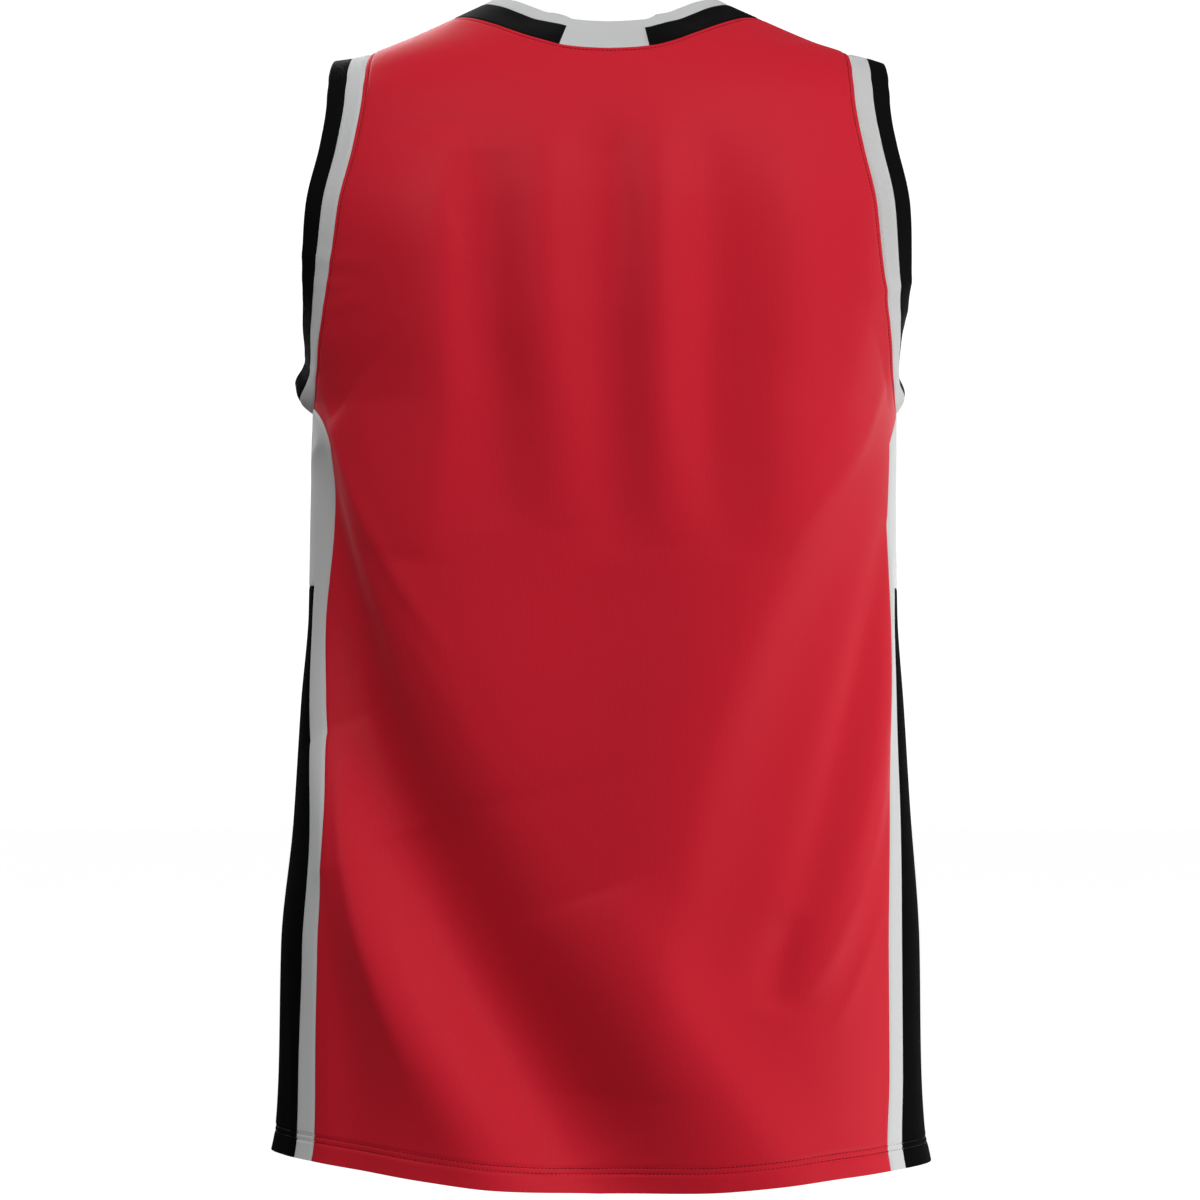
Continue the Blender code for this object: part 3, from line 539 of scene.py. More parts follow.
def side_grid(side, rows, columns):
    """Points of a whole side panel, at places in rows up and in columns from back to front."""
    low = HEM[-1].height
    marks = (0, INSERT_ROWS, SIDE_ROWS - 1, SIDE_ROWS), (low, INSERT_TOP, SIDE_CORNER, ARMHOLE_BOTTOM)
    points = []
    for height in np.interp(rows, *marks):
        level = (height - low) / (ARMHOLE_BOTTOM - low)
        back, front = (side_seam_depth(height, side, face) for face in (BACK, FRONT))
        stripe = min(SIDE_STRIPE, (back - front) / 3)
        inner = stepped_round(back, height, side, -stripe), stepped_round(front, height, side, stripe)
        stripes = [back, *np.linspace(*inner, INSERT_COLUMNS + 1), front]
        depths = np.interp(columns, range(SIDE_COLUMNS + 1), stripes)
        bottom = side_point(depths, np.full(len(depths), low), side)
        hem = hem_height(degrees_round(bottom), bottom[..., 0])
        heights = hem * (1 - level) + ARMHOLE_BOTTOM * level
        # Above the corners, the rows come to follow the armhole.
        faces = np.where(depths >= 0, BACK, FRONT)
        share = np.clip((height - SIDE_CORNER) / (ARMHOLE_BOTTOM - SIDE_CORNER), 0, 1)
        edge = armhole_point(armhole_turn(depths, faces), side, faces)[..., 2]
        points.append(side_point(depths, heights + share * (edge - ARMHOLE_BOTTOM), side))
    return np.array(points)


def armhole_edge(side, face, rows):
    """One half of an armhole's edge, at places counted in rows up from the side panel's corner."""
    corner = side_grid(side, [SIDE_ROWS], [SEAM_COLUMN[face]])[0, 0]
    turn = np.linspace(armhole_turn(corner[1], face), math.pi / 2, CURVE_POINTS)
    return along([armhole_point(turn, side, face)], [ARMHOLE_ROWS], rows)


def neckline_parts(face):
    """The neck edge of the back or front, from left to right, with a part of its own for the white block."""
    share = np.cos(np.linspace(0, np.pi, CURVE_POINTS))
    drop, shape = (BACK_NECK_DROP, "back") if face == BACK else (FRONT_NECK_DROP, "front")
    height = -drop * NECK_DROP[shape](np.abs(share))
    line = face_point(BODY["shift"](height) + share * NECK_HALF_WIDTH, height, face)
    in_block = np.flatnonzero(np.abs(line[:, 0]) < NECK_BLOCK / 2)
    first, last = in_block[0], in_block[-1]
    return [line[: first + 1], line[first : last + 1], line[last:]]


def panel_edges(face, rows, columns):
    """The hem, the top and the left and right edges of the back or front, at places in rows and columns."""
    seam_rows, armhole_rows = rows[rows <= SIDE_ROWS], rows[rows > SIDE_ROWS] - SIDE_ROWS
    sides, hem_ends = {}, {}
    for side in (LEFT, RIGHT):
        seam = side_grid(side, seam_rows, [SEAM_COLUMN[face]])[:, 0]
        sides[side] = np.concatenate([seam, armhole_edge(side, face, armhole_rows)])
        turn = degrees_round(seam[0])
        hem_ends[side] = turn % 360 if face == FRONT else turn
    shoulders = {side: side_point(0.0, np.linspace(SHOULDER_TIP, 0, CURVE_POINTS), side) for side in sides}
    top_parts = [shoulders[LEFT], *neckline_parts(face), shoulders[RIGHT][::-1]]
    counts = SHOULDER_COLUMNS, NECK_COLUMNS, BLOCK_COLUMNS, NECK_COLUMNS, SHOULDER_COLUMNS
    degrees = np.linspace(hem_ends[LEFT], hem_ends[RIGHT], CURVE_POINTS)
    rough = ring_point(degrees, np.full(CURVE_POINTS, HEM[-1].height))
    hem = along([ring_point(degrees, hem_height(degrees, rough[:, 0]))], [PANEL_COLUMNS], columns)
    return hem, along(top_parts, counts, columns), sides[LEFT], sides[RIGHT]


def stretched_between(edges, rows, columns):
    """A patch of points between four edges: bottom, top, left and right."""
    bottom, top, left, right = edges
    u, v = (columns / columns[-1])[None, :, None], (rows / rows[-1])[:, None, None]
    up = (1 - v) * bottom[None] + v * top[None]
    across = (1 - u) * left[:, None] + u * right[:, None]
    corners = (1 - v) * ((1 - u) * bottom[0] + u * bottom[-1]) + v * ((1 - u) * top[0] + u * top[-1])
    return up + across - corners


def refined(values, at):
    """Values that come in coarse steps along the first axis, read at places between them."""
    low = np.minimum(at.astype(int), len(values) - 2)
    share = (at - low).reshape((-1,) + (1,) * (values.ndim - 1))
    return values[low] * (1 - share) + values[low + 1] * share


def panel_grid(face, rows, columns):
    """Points of the back or front on the body form, at places in rows up and columns from left to right."""
    coarse_places = np.arange(PANEL_ROWS + 1.0), np.arange(PANEL_COLUMNS + 1.0)
    edges = panel_edges(face, *coarse_places)
    coarse = laid_on_body(stretched_between(edges, *coarse_places))
    coarse[0], coarse[-1], coarse[:, 0], coarse[:, -1] = edges
    for _ in range(RELAXINGS):
        middle = (coarse[:-2, 1:-1] + coarse[2:, 1:-1] + coarse[1:-1, :-2] + coarse[1:-1, 2:]) / 4
        coarse[1:-1, 1:-1] = laid_on_body(middle, rounds=2)
    grid = np.swapaxes(refined(np.swapaxes(refined(coarse, rows), 0, 1), columns), 0, 1)
    found = grid[0], grid[-1], grid[:, 0], grid[:, -1]
    wanted = panel_edges(face, rows, columns)
    missing = [want - have for want, have in zip(wanted, found)]
    grid = laid_on_body(grid + stretched_between(missing, rows, columns), rounds=4)
    grid[0], grid[-1], grid[:, 0], grid[:, -1] = wanted
    return grid


def square_in(edge, beside):
    """The direction from an edge towards the line beside it, square to the edge."""
    tangent = unit(np.gradient(edge, axis=0))
    inward = beside - edge
    return unit(inward - tangent * np.sum(inward * tangent, axis=-1, keepdims=True))


def drawn_in(grid, below, above, ends=None):
    """A grid with its lowest, its highest and, unless it is closed, its end lines moved in by a gap."""
    result = grid.copy()
    result[0] += square_in(grid[0], grid[1]) * below
    result[-1] += square_in(grid[-1], grid[-2]) * above
    if ends is not None:
        result[:, 0] += square_in(grid[:, 0], grid[:, 1]) * ends
        result[:, -1] += square_in(grid[:, -1], grid[:, -2]) * ends
    return result


def distance_to(points, line):
    """How far each point is from a line."""
    steps = 4
    dense = refined(line, np.linspace(0, len(line) - 1, steps * (len(line) - 1) + 1))
    tree = KDTree(len(dense))
    for i, place in enumerate(dense):
        tree.insert(place, i)
    tree.balance()
    flat = points.reshape(-1, 3)
    return np.array([tree.find(place)[2] for place in flat]).reshape(points.shape[:-1])


def quads_of(grid, cells=None, closed=False):
    """The corner numbers of a grid's cells."""
    rows, columns = grid.shape[:2]
    beside = [(j, (j + 1) % columns) for j in range(columns if closed else columns - 1)]
    return [
        (i * columns + j, i * columns + k, (i + 1) * columns + k, (i + 1) * columns + j)
        for i in range(rows - 1)
        for j, k in beside
        if cells is None or cells[i, j]
    ]


def on_cloth_at(grid, edge, beside, distance):
    """A line on a piece at a distance from one of its edges."""
    tree = BVHTree.FromPolygons(grid.reshape(-1, 3).tolist(), quads_of(grid))
    inward = square_in(edge, beside)
    return np.array([tree.find_nearest(place)[0] for place in edge + inward * distance])


def drawn(grid, outs, channels):
    """Points drawn in by seams and rows of stitches, each given as a line, a depth and a width."""
    depth = np.zeros(grid.shape[:-1])
    for line, deep, wide in channels:
        distance = distance_to(grid, line)
        depth = np.maximum(depth, deep * np.exp(-((distance / wide) ** 2)))
    return grid - outs * depth[..., None]


def cloth_piece(name, node, outer, outs, thickness, look, cells=None, closed=False):
    """One piece of cloth: a wall between a grid of points and one behind it, with a rim round every edge.

    outs lead out of the cloth, and thickness is one number or one for each point. look is its material and a
    slot name, and the slot name is not used. cells says which of the grid's cells it has, and a
    closed grid's last column joins its first. Its UV map is in metres, across and up.
    """
    rows, columns = outer.shape[:2]
    inner = outer - outs * np.broadcast_to(thickness, outer.shape[:2])[..., None]
    points = np.concatenate([outer.reshape(-1, 3), inner.reshape(-1, 3)])
    behind = rows * columns
    front = quads_of(outer, cells, closed)
    a, b, _, d = points[list(front[0])]
    if np.dot(np.cross(b - a, d - a), outs.reshape(-1, 3)[front[0][0]]) < 0:
        front = [quad[::-1] for quad in front]
    sides = {(quad[n], quad[(n + 1) % 4]) for quad in front for n in range(4)}
    rim = [(b, a, a + behind, b + behind) for a, b in sorted(sides) if (b, a) not in sides]
    quads = front + [tuple(corner + behind for corner in quad[::-1]) for quad in front] + rim
    used = sorted({corner for quad in quads for corner in quad})
    number = {corner: n for n, corner in enumerate(used)}
    mesh = bpy.data.meshes.new(name)
    mesh.from_pydata(points[used].tolist(), [], [[number[corner] for corner in quad] for quad in quads])
    mesh.shade_smooth()
    mesh.set_sharp_from_angle(angle=SHARP_EDGE)
    mesh.materials.append(look[0])
    across = lengths(outer, axis=1)
    across -= across[:, [columns // 2]]
    flat = np.stack([across, lengths(outer)], axis=-1).reshape(-1, 2)
    flat = np.concatenate([flat, flat])
    corners = np.zeros(len(mesh.loops), np.int32)
    mesh.loops.foreach_get("vertex_index", corners)
    uv = mesh.uv_layers.new(name="cloth")
    uv.data.foreach_set("uv", flat[np.array(used)[corners]].astype(np.float32).ravel())
    piece = placed(name, mesh)
    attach(piece, "root")
    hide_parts(node)


def new_node(tree, kind, values=None):
    made = tree.nodes.new(kind)
    fill_in(made, values or {})
    return made


def join(tree, *wires):
    """Joins sockets, each wire given as a node and its output, then a node and its input."""
    for source, output, target, socket in wires:
        tree.links.new(source.outputs[output], target.inputs[socket])


def knit(name, colour, roughness, gloss, sheen, depth, mottle, wale, course):
    """A knitted cloth: wales up it and courses across it at their real spacing, in yarns of uneven shade."""
    look = {
        "Roughness": roughness,
        "Specular IOR Level": gloss,
        "Sheen Weight": sheen,
        "Sheen Roughness": 0.45,
        "Sheen Tint": (*(0.5 + 0.5 * c for c in colour), 1),
    }
    made = principled(name, look)
    tree = made.node_tree
    shader = tree.nodes["Principled BSDF"]
    flat = new_node(tree, "ShaderNodeUVMap")
    flat.uv_map = "cloth"
    loops = new_node(tree, "ShaderNodeMath", {1: COURSE_SHARE})
    loops.operation = "MULTIPLY_ADD"
    for pitch, direction, socket in ((wale, "X", 2), (course, "Y", 0)):
        scale = math.tau / (20 * pitch)
        wave = new_node(tree, "ShaderNodeTexWave", {"Scale": scale, "Distortion": 0.6, "Detail Scale": 0.4})
        wave.bands_direction = direction
        join(tree, (flat, "UV", wave, "Vector"), (wave, "Fac", loops, socket))
    bump = new_node(tree, "ShaderNodeBump", {"Strength": 0.5, "Distance": depth})
    yarns = new_node(tree, "ShaderNodeTexNoise", {"Scale": YARNS, "Detail": 3})
    ramp = new_node(tree, "ShaderNodeMapRange", {"To Min": 1 - mottle, "To Max": 1 + mottle})
    shade = new_node(tree, "ShaderNodeVectorMath", {0: colour})
    shade.operation = "SCALE"
    join(
        tree,
        (loops, "Value", bump, "Height"),
        (bump, "Normal", shader, "Normal"),
        (flat, "UV", yarns, "Vector"),
        (yarns, "Fac", ramp, "Value"),
        (ramp, "Result", shade, "Scale"),
        (shade, "Vector", shader, "Base Color"),
    )
    return made


COURSE_SHARE = 0.4  # how much the courses show beside the wales
YARNS = 900  # shade changes a metre
BODY_RED = (0.70, 0.015, 0.033)
FINE_KNIT = 0.0011, 0.0009  # from wale to wale, and from course to course
SATIN_RED = knit("satin_red_knit", BODY_RED, 0.50, 0.12, 0.02, 0.00006, 0.04, *FINE_KNIT)
SEAM_TURN = 0.0006  # how far the cloth turns in at a seam
SEAM_TURN_WIDTH = 0.0012
STITCH_DRAW = 0.0008  # how far a row of stitches draws the cloth in
STITCH_DRAW_WIDTH = 0.0009
ARMHOLE_STITCH = 0.0030  # from the armhole's seam to the row of stitches beside it
NECK_STITCH = 0.0028
HEM_LINES = (0.0125, 0.0160)  # the hem's two rows of stitches, up from its edge
HEM_DEPTH = 0.0165  # turned up inside
HEM_CLOTH = 0.0019
STITCHED = {"red": [], "white": [], "black": []}  # lines to be sewn, by the colour of the thread


def make_panel(name, face, node):
    """The back or front panel."""
    rows = places(PANEL_ROWS, {0: HEM_STEPS, -1: TO_SEAM})
    columns = places(PANEL_COLUMNS, {0: FROM_SEAM, -1: TO_SEAM})
    flat = panel_grid(face, rows, columns)
    outs = outward(flat)
    grid = drawn_in(draped(flat), 0, HALF_GAP, HALF_GAP)
    hem, top, left, right = grid[0], grid[-1], grid[:, 0], grid[:, -1]
    neck = (columns >= SHOULDER_COLUMNS) & (columns <= PANEL_COLUMNS - SHOULDER_COLUMNS)
    up_armhole = rows >= SIDE_ROWS
    stitches = [
        on_cloth_at(grid, left[up_armhole], grid[up_armhole, 1], ARMHOLE_STITCH),
        on_cloth_at(grid, right[up_armhole], grid[up_armhole, -2], ARMHOLE_STITCH),
        on_cloth_at(grid, top[neck], grid[-2, neck], NECK_STITCH),
        *(on_cloth_at(grid, hem, grid[1], distance) for distance in HEM_LINES),
    ]
    STITCHED["red"] += stitches
    channels = [(line, SEAM_TURN, SEAM_TURN_WIDTH) for line in (top, left, right)]
    channels += [(line, STITCH_DRAW, STITCH_DRAW_WIDTH) for line in stitches]
    thickness = np.where(distance_to(grid, hem) < HEM_DEPTH, HEM_CLOTH, CLOTH)
    surface = drawn(grid, outs, channels)
    cloth_piece(name, node, surface, outs, thickness, (SATIN_RED, "body_knit"))


make_panel("back_cloth", BACK, "back_panel")
make_panel("front_cloth", FRONT, "front_panel")

# ----------------------------------------
# Side panels: white knit from the armhole to the hem, widening downwards, each with a black knit piece set
# into it from below, so that a white stripe is left down both edges. The seams are pressed flat, and the hem
# is turned up like the body's.

WHITE = (0.71, 0.72, 0.715)
BLACK = (0.0045, 0.0045, 0.0048)
WHITE_KNIT = knit("white_knit", WHITE, 0.55, 0.20, 0.02, 0.00008, 0.02, *FINE_KNIT)
BLACK_KNIT = knit("black_knit", BLACK, 0.85, 0.005, 0.0, 0.00008, 0.15, *FINE_KNIT)
INSET_TURN = 0.0003  # how far the cloth turns in at the black piece's seam


def make_side(label, side):
    """A side panel and the black insert that it frames."""
    rows = places(SIDE_ROWS, {0: HEM_STEPS, INSERT_ROWS - 1: TO_SEAM, INSERT_ROWS: FROM_SEAM, -1: TO_SEAM})
    columns = places(SIDE_COLUMNS, {0: SEAM_TO_SEAM, 1: FROM_SEAM, -2: TO_SEAM, -1: SEAM_TO_SEAM})
    flat = side_grid(side, rows, columns)
    outs = outward(flat)
    grid = draped(flat)
    thickness = np.where(distance_to(grid, grid[0]) < HEM_DEPTH, HEM_CLOTH, CLOTH)
    low, inside = rows <= INSERT_ROWS, (columns >= 1) & (columns <= SIDE_COLUMNS - 1)
    inset = np.ix_(low, inside)
    window = np.concatenate([grid[inset][:, 0], grid[inset][-1], grid[inset][::-1, -1]])
    hems = [on_cloth_at(grid, grid[0], grid[1], distance) for distance in HEM_LINES]
    STITCHED["black"] += [line[inside] for line in hems]
    stripes = columns <= 1, columns >= SIDE_COLUMNS - 1
    STITCHED["white"] += [line[stripe] for line in hems for stripe in stripes]
    channels = [(line, SEAM_TURN, SEAM_TURN_WIDTH) for line in (grid[:, 0], grid[:, -1], grid[-1])]
    channels += [(line, STITCH_DRAW, STITCH_DRAW_WIDTH) for line in hems]
    channels.append((window, INSET_TURN, SEAM_TURN_WIDTH))
    surface = drawn(grid, outs, channels)
    inside_cells = (columns[:-1] >= 1) & (columns[:-1] < SIDE_COLUMNS - 1)
    framed = ~((rows[:-1] < INSERT_ROWS)[:, None] & inside_cells)
    frame_grid = drawn_in(surface, 0, HALF_GAP, HALF_GAP)
    name, node, look = f"side_white_{label}", f"side_panel_{label}", (WHITE_KNIT, "side_knit_white")
    cloth_piece(name, node, frame_grid, outs, thickness, look, framed)
    insert = drawn_in(surface[inset], 0, SEAM_GAP, SEAM_GAP)
    name, node, look = f"side_black_{label}", f"side_insert_{label}", (BLACK_KNIT, "side_knit_black")
    cloth_piece(name, node, insert, outs[inset], thickness[inset], look)


make_side("left", LEFT)
make_side("right", RIGHT)

# ----------------------------------------
# Armhole bands: rib knit, a white strip sewn to the body and a black one folded over along the free edge.
# They stand a little proud of the cloth over the shoulder, and flare out under the arm.

ARMHOLE_STRIP = 0.0125  # width of the white strip
ARMHOLE_EDGE = 0.0130  # width of the black edge
EVENINGS = 3 * FINE**2  # rounds of averaging that even out the directions across a band
BAND_PLACES = places(2, {0: FROM_SEAM, 1: TO_SEAM}) / 2  # across one strip, as shares of its width
BETWEEN = len(BAND_PLACES) - 1  # a band's line between its two strips
RIB = 0.0015, 0.0011  # from rib to rib, and from course to course
WHITE_RIB = knit("white_rib", WHITE, 0.62, 0.20, 0.02, 0.00030, 0.02, *RIB)
BLACK_RIB = knit("black_rib", BLACK, 0.62, 0.03, 0.001, 0.00030, 0.15, *RIB)
EDGE_ROUND = 0.0006  # how far a folded edge rounds off
EDGE_ROUND_WIDTH = 0.0006
BAND_CLOTH = 0.0014
STRIPE_TURN = 0.0002
TUCK_DEPTH = 0.00018
TUCK_WIDTH = 0.0006

# How far an armhole's two strips lean out of the cloth, in degrees, by the share of the way from the shoulder
# down to the armhole's bottom, for the wearer's left and right
ARMHOLE_LEAN = table(
    "share left_strip left_edge right_strip right_edge",
    (0.00, 14, 20, 17, 10),
    (0.10, 11, 16, 20, 7),
    (0.25, 7, 12, 22, 2),
    (0.45, 6, 12, 20, 4),
    (0.60, 3, 6, 12, 0),
    (0.75, -6, -5, 0, -12),
    (0.85, -9, -6, -3, -30),
    (0.92, -6, -4, -3, -34),
    (0.96, 12, -2, 4, -34),
    (1.00, 50, 6, 32, -28),
)
ARMHOLE = smooth_columns(ARMHOLE_LEAN)


def band_lines(edge, outs, inward, strips):
    """Lines across a band from the edge that it is sewn to, with the directions out of its cloth along each.

    inward leads across the band in the cloth that it is sewn to, and outs out of that cloth. strips gives
    each strip's width, and how far it leans out in degrees, point by point.
    """
    (first, first_lean), (second, second_lean) = strips
    at = np.concatenate([BAND_PLACES * first, first + BAND_PLACES[1:] * second])

    def lean(distance):
        share = np.clip((distance - first / 2) / ((first + second) / 2), 0, 1)
        return np.radians(first_lean * (1 - share) + second_lean * share)[:, None]

    lines, directions = [edge], [outs]
    for start, end in zip(at, at[1:]):
        turn = lean((start + end) / 2)
        lines.append(lines[-1] + (np.cos(turn) * inward + np.sin(turn) * outs) * (end - start))
        directions.append(np.cos(lean(end)) * outs - np.sin(lean(end)) * inward)
    # Beside the seam, the directions are those of the cloth that the band is sewn to.
    share = np.clip(at / (first / 2), 0, 1)[:, None, None]
    return np.array(lines), unit(np.array(directions) * share + outward(edge) * (1 - share))


def evened(directions):
    """Directions round a closed edge, each averaged with its neighbours."""
    for _ in range(EVENINGS):
        directions = unit(directions * 2 + np.roll(directions, 1, axis=0) + np.roll(directions, -1, axis=0))
    return directions


def across_edge(edge, outs, centre):
    """The direction in the cloth square to a closed edge and towards a centre."""
    tangent = unit(np.roll(edge, -1, axis=0) - np.roll(edge, 1, axis=0))
    inward = unit(np.cross(outs, tangent))
    return inward * np.sign(np.sum(inward * (centre - edge)))


def ring(line):
    """A closed line's points, with the first again at the end."""
    return np.concatenate([line, line[:1]])


def band_surface(lines, outs, strip_seam, tucks=()):
    """A band's lines, drawn in at its seams and tucks and rounded off along its free edge."""
    channels = [
        (ring(lines[0]), SEAM_TURN, SEAM_TURN_WIDTH),
        (strip_seam, STRIPE_TURN, SEAM_TURN_WIDTH),
        (ring(lines[-1]), EDGE_ROUND, EDGE_ROUND_WIDTH),
    ]
    return drawn(lines, outs, channels + [(ring(tuck), TUCK_DEPTH, TUCK_WIDTH) for tuck in tucks])


def make_armhole(label, side):
    """An armhole's band."""
    halves = {face: armhole_edge(side, face, places(ARMHOLE_ROWS)) for face in (BACK, FRONT)}
    under = side_grid(side, [SIDE_ROWS], places(SIDE_COLUMNS))[0]
    sewn = np.concatenate([under[:-1], halves[FRONT][:-1], halves[BACK][::-1][:-1]])
    edge, outs = draped(sewn), evened(outward(sewn))
    share = (SHOULDER_TIP - sewn[:, 2]) / (SHOULDER_TIP - ARMHOLE_BOTTOM)
    widths = ARMHOLE_STRIP, ARMHOLE_EDGE
    leans = ARMHOLE[label + "_strip"](share), ARMHOLE[label + "_edge"](share)
    lines, outs = band_lines(edge, outs, across_edge(edge, outs, edge.mean(axis=0)), list(zip(widths, leans)))
    surface = band_surface(lines, outs, ring(lines[BETWEEN]))
    for colour, strip, part, look, cut in (
        ("white", "strip", slice(0, BETWEEN + 1), (WHITE_RIB, "rib_white"), (0.63, 0.0125)),
        ("black", "edge", slice(BETWEEN, None), (BLACK_RIB, "rib_black"), (0.57, 0.0130)),
    ):
        grid = drawn_in(surface[part], HALF_GAP, HALF_GAP)
        name, node = f"armhole_{colour}_{label}", f"armhole_{strip}_{label}"
        cloth_piece(name, node, grid, outs[part], BAND_CLOTH, look, closed=True)


make_armhole("left", LEFT)
make_armhole("right", RIGHT)

# ----------------------------------------
# Neck band: the same rib knit, folded over at its top. A white edge runs all round, a black stripe lies
# between it and the body, and a white block is let into the stripe at the middle of the back.

NECK_STRIPE = 0.0235  # width of the black stripe
NECK_EDGE = 0.0115  # width of the white edge
NECK_TUCKS = (0.0047, 0.0335)  # up from the lower seam, where the layers underneath show as faint lines

# How far the stripe and the white edge lean out of the cloth, in degrees, by the share of the neck's half
# width, and how much of the sideways part of the way across the band is kept at the back, where the white
# block has steeper ends
NECK_LEAN = table(
    "across back_stripe back_edge front_stripe front_edge sideways",
    (0.00, -6, -5, 4, 8, 0.35),
    (0.30, -5, -6, 4, 8, 0.40),
    (0.49, -10, 0, 3, 6, 0.70),
    (0.64, -14, -2, 2, 4, 0.90),
    (0.85, -8, -4, 0, 0, 1.00),
    (1.00, 2, 2, 4, 0, 1.00),
)
NECK = smooth_columns(NECK_LEAN)
NECK_CENTRE = np.array([0, 0, 0.03])  # a point inside the neck's opening, above its edge


def make_neck():
    """The neck band."""
    counts = NECK_COLUMNS, BLOCK_COLUMNS, NECK_COLUMNS
    back, front = (along(neckline_parts(face), counts, places(sum(counts))) for face in (BACK, FRONT))
    sewn = np.concatenate([back[:-1], front[::-1][:-1]])
    edge, outs = draped(sewn), evened(outward(sewn))
    inward = across_edge(edge, outs, NECK_CENTRE)
    across = np.abs(sewn[:, 0] - BODY["shift"](sewn[:, 2])) / NECK_HALF_WIDTH
    on_back = np.arange(len(sewn)) < len(back)
    inward[:, 0] *= np.where(on_back, NECK["sideways"](across), 1)
    leans = [
        np.where(on_back, NECK["back_" + strip](across), NECK["front_" + strip](across))
        for strip in ("stripe", "edge")
    ]
    lines, outs = band_lines(edge, outs, unit(inward), list(zip((NECK_STRIPE, NECK_EDGE), leans)))
    # The first column is moved to the block's end, so that the black stripe is one run of columns.
    lines, outs = (np.roll(grid, -FINE * (NECK_COLUMNS + BLOCK_COLUMNS), axis=1) for grid in (lines, outs))
    block = FINE * BLOCK_COLUMNS
    stripe_columns = len(sewn) - block + 1
    widths = BAND_PLACES * NECK_STRIPE, NECK_STRIPE + BAND_PLACES[1:] * NECK_EDGE
    tucks = refined(lines, np.interp(NECK_TUCKS, np.concatenate(widths), range(len(lines))))
    surface = band_surface(lines, outs, lines[BETWEEN, :stripe_columns], tucks)
    white = np.zeros((len(lines) - 1, len(sewn)), bool)
    white[BETWEEN:] = True
    white[:, -block:] = True
    grid, look, cut = drawn_in(surface, HALF_GAP, HALF_GAP), (WHITE_RIB, "rib_white"), (0.56, 0.035)
    cloth_piece(
        "neck_white", "neck_band_white", grid, outs, BAND_CLOTH, look, cells=white, closed=True
    )
    stripe = slice(0, BETWEEN + 1), slice(0, stripe_columns)
    grid, look = drawn_in(surface[stripe], HALF_GAP, SEAM_GAP, SEAM_GAP), (BLACK_RIB, "rib_black")
    cloth_piece("neck_black", "neck_band_black", grid, outs[stripe], BAND_CLOTH, look)


make_neck()

# ----------------------------------------
# Stitching: single rows of polyester thread beside the armholes and below the neck band, and a double row
# round the hem, each in the colour of its cloth, the red and white ones darker: painted shade for the dark
# line that the stitches draw into the cloth. Every stitch is a thread that lies from one needle hole to the
# next, pulled down into the cloth.

STITCH_PITCH = 0.0026
STITCH_LENGTH = 0.0022
STITCH_UNEVEN = 0.15  # how much shorter some are, as a share
THREAD = 0.0006  # thickness
THREAD_SUNK = 0.0006  # how far a stitch's middle lies below the face of the cloth
THREAD_ROUND = 8  # sides of a thread
THREAD_RINGS = 5


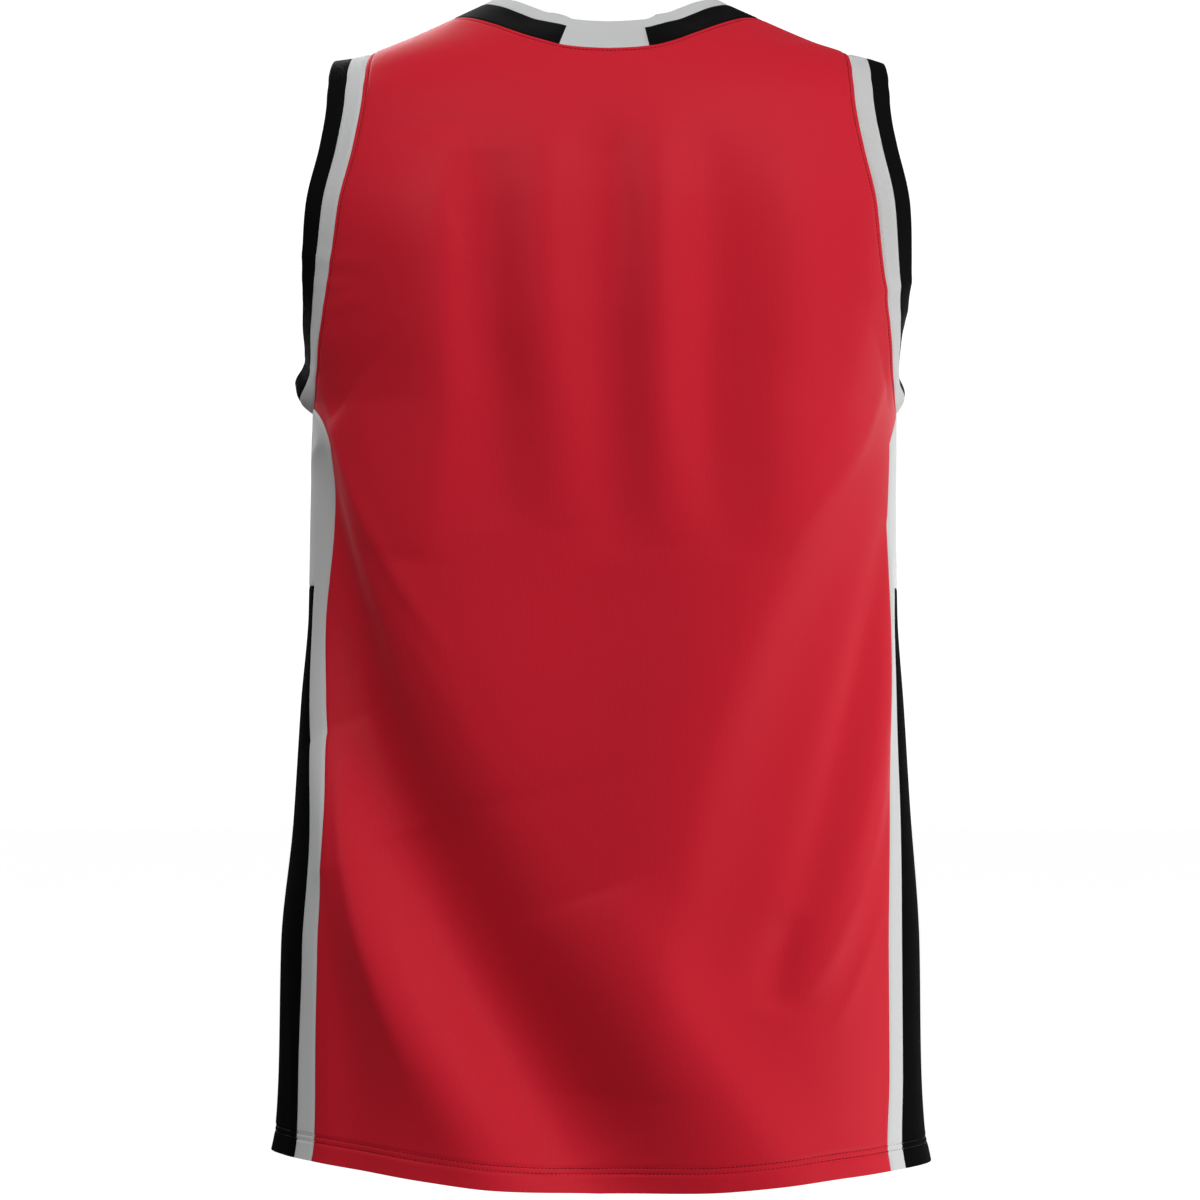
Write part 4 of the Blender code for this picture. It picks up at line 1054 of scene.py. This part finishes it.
def stitch_tree():
    """Lays stitches end to end along lines."""
    tree = bpy.data.node_groups.new("stitches", "GeometryNodeTree")
    tree.interface.new_socket("Geometry", in_out="OUTPUT", socket_type="NodeSocketGeometry")
    sizes = {name: "Float" for name in ("Pitch", "Length", "Thread", "Unevenness")}
    for name, kind in {"Lines": "Geometry", **sizes, "Seed": "Int", "Material": "Material"}.items():
        tree.interface.new_socket(name, in_out="INPUT", socket_type="NodeSocket" + kind)
    given, result = new_node(tree, "NodeGroupInput"), new_node(tree, "NodeGroupOutput")
    curve = new_node(tree, "GeometryNodeMeshToCurve")
    cut = new_node(tree, "GeometryNodeResampleCurve")
    cut.mode = "LENGTH"
    sphere = {"Segments": THREAD_ROUND, "Rings": THREAD_RINGS, "Radius": 0.5}
    stitch = new_node(tree, "GeometryNodeMeshUVSphere", sphere)
    along_line = new_node(tree, "GeometryNodeInputTangent")
    turn = new_node(tree, "FunctionNodeAlignRotationToVector")
    turn.axis = "Z"
    least = new_node(tree, "ShaderNodeMath", {0: 1})
    least.operation = "SUBTRACT"
    uneven = new_node(tree, "FunctionNodeRandomValue")
    length = new_node(tree, "ShaderNodeMath")
    length.operation = "MULTIPLY"
    size = new_node(tree, "ShaderNodeCombineXYZ")
    laid = new_node(tree, "GeometryNodeInstanceOnPoints")
    real = new_node(tree, "GeometryNodeRealizeInstances")
    dressed = new_node(tree, "GeometryNodeSetMaterial")
    join(
        tree,
        (given, "Lines", curve, "Mesh"),
        (curve, "Curve", cut, "Curve"),
        (given, "Pitch", cut, "Length"),
        (along_line, "Tangent", turn, "Vector"),
        (given, "Unevenness", least, 1),
        (least, "Value", uneven, 2),
        (given, "Seed", uneven, "Seed"),
        (given, "Length", length, 0),
        (uneven, 1, length, 1),
        (given, "Thread", size, "X"),
        (given, "Thread", size, "Y"),
        (length, "Value", size, "Z"),
        (cut, "Curve", laid, "Points"),
        (stitch, "Mesh", laid, "Instance"),
        (turn, "Rotation", laid, "Rotation"),
        (size, "Vector", laid, "Scale"),
        (laid, "Instances", real, "Geometry"),
        (real, "Geometry", dressed, "Geometry"),
        (given, "Material", dressed, "Material"),
        (dressed, "Geometry", result, "Geometry"),
    )
    return tree


def thread(name, colour):
    """Twisted polyester thread, with a low shine."""
    return principled(name, {"Base Color": (*colour, 1), "Roughness": 0.45, "Specular IOR Level": 0.15})


def sew(name, lines, seed, material):
    """The stitches along a set of lines."""
    sunk = [line - outward(line) * THREAD_SUNK for line in lines]
    starts = np.cumsum([0] + [len(line) for line in sunk])
    edges = [(k, k + 1) for start, end in zip(starts, starts[1:]) for k in range(start, end - 1)]
    mesh = bpy.data.meshes.new(name)
    mesh.from_pydata(np.concatenate(sunk).tolist(), edges, [])
    guide = placed(name + "_guide", mesh)
    modifier = guide.modifiers.new("stitches", "NODES")
    modifier.node_group = STITCH_TREE
    values = {"Unevenness": STITCH_UNEVEN, "Seed": seed, "Material": material}
    values |= {"Pitch": STITCH_PITCH, "Length": STITCH_LENGTH, "Thread": THREAD}
    for item in STITCH_TREE.interface.items_tree:
        if item.name in values:
            modifier[item.identifier] = values[item.name]
    sewn = bpy.data.meshes.new_from_object(guide.evaluated_get(bpy.context.evaluated_depsgraph_get()))
    sewn.name = name
    sewn.shade_smooth()
    bpy.data.objects.remove(guide)
    piece = placed(name, sewn)
    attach(piece, "root")


STITCH_TREE = stitch_tree()
# The red and white threads are darker than their cloth: painted shade along the rows of stitches.
sew("stitching_red", STITCHED["red"], 1, thread("red_thread_painted_shade", (0.20, 0.004, 0.009)))
sew("stitching_white", STITCHED["white"], 2, thread("white_thread_painted_shade", (0.50, 0.51, 0.50)))
sew("stitching_black", STITCHED["black"], 3, thread("black_thread", (0.006, 0.006, 0.006)))
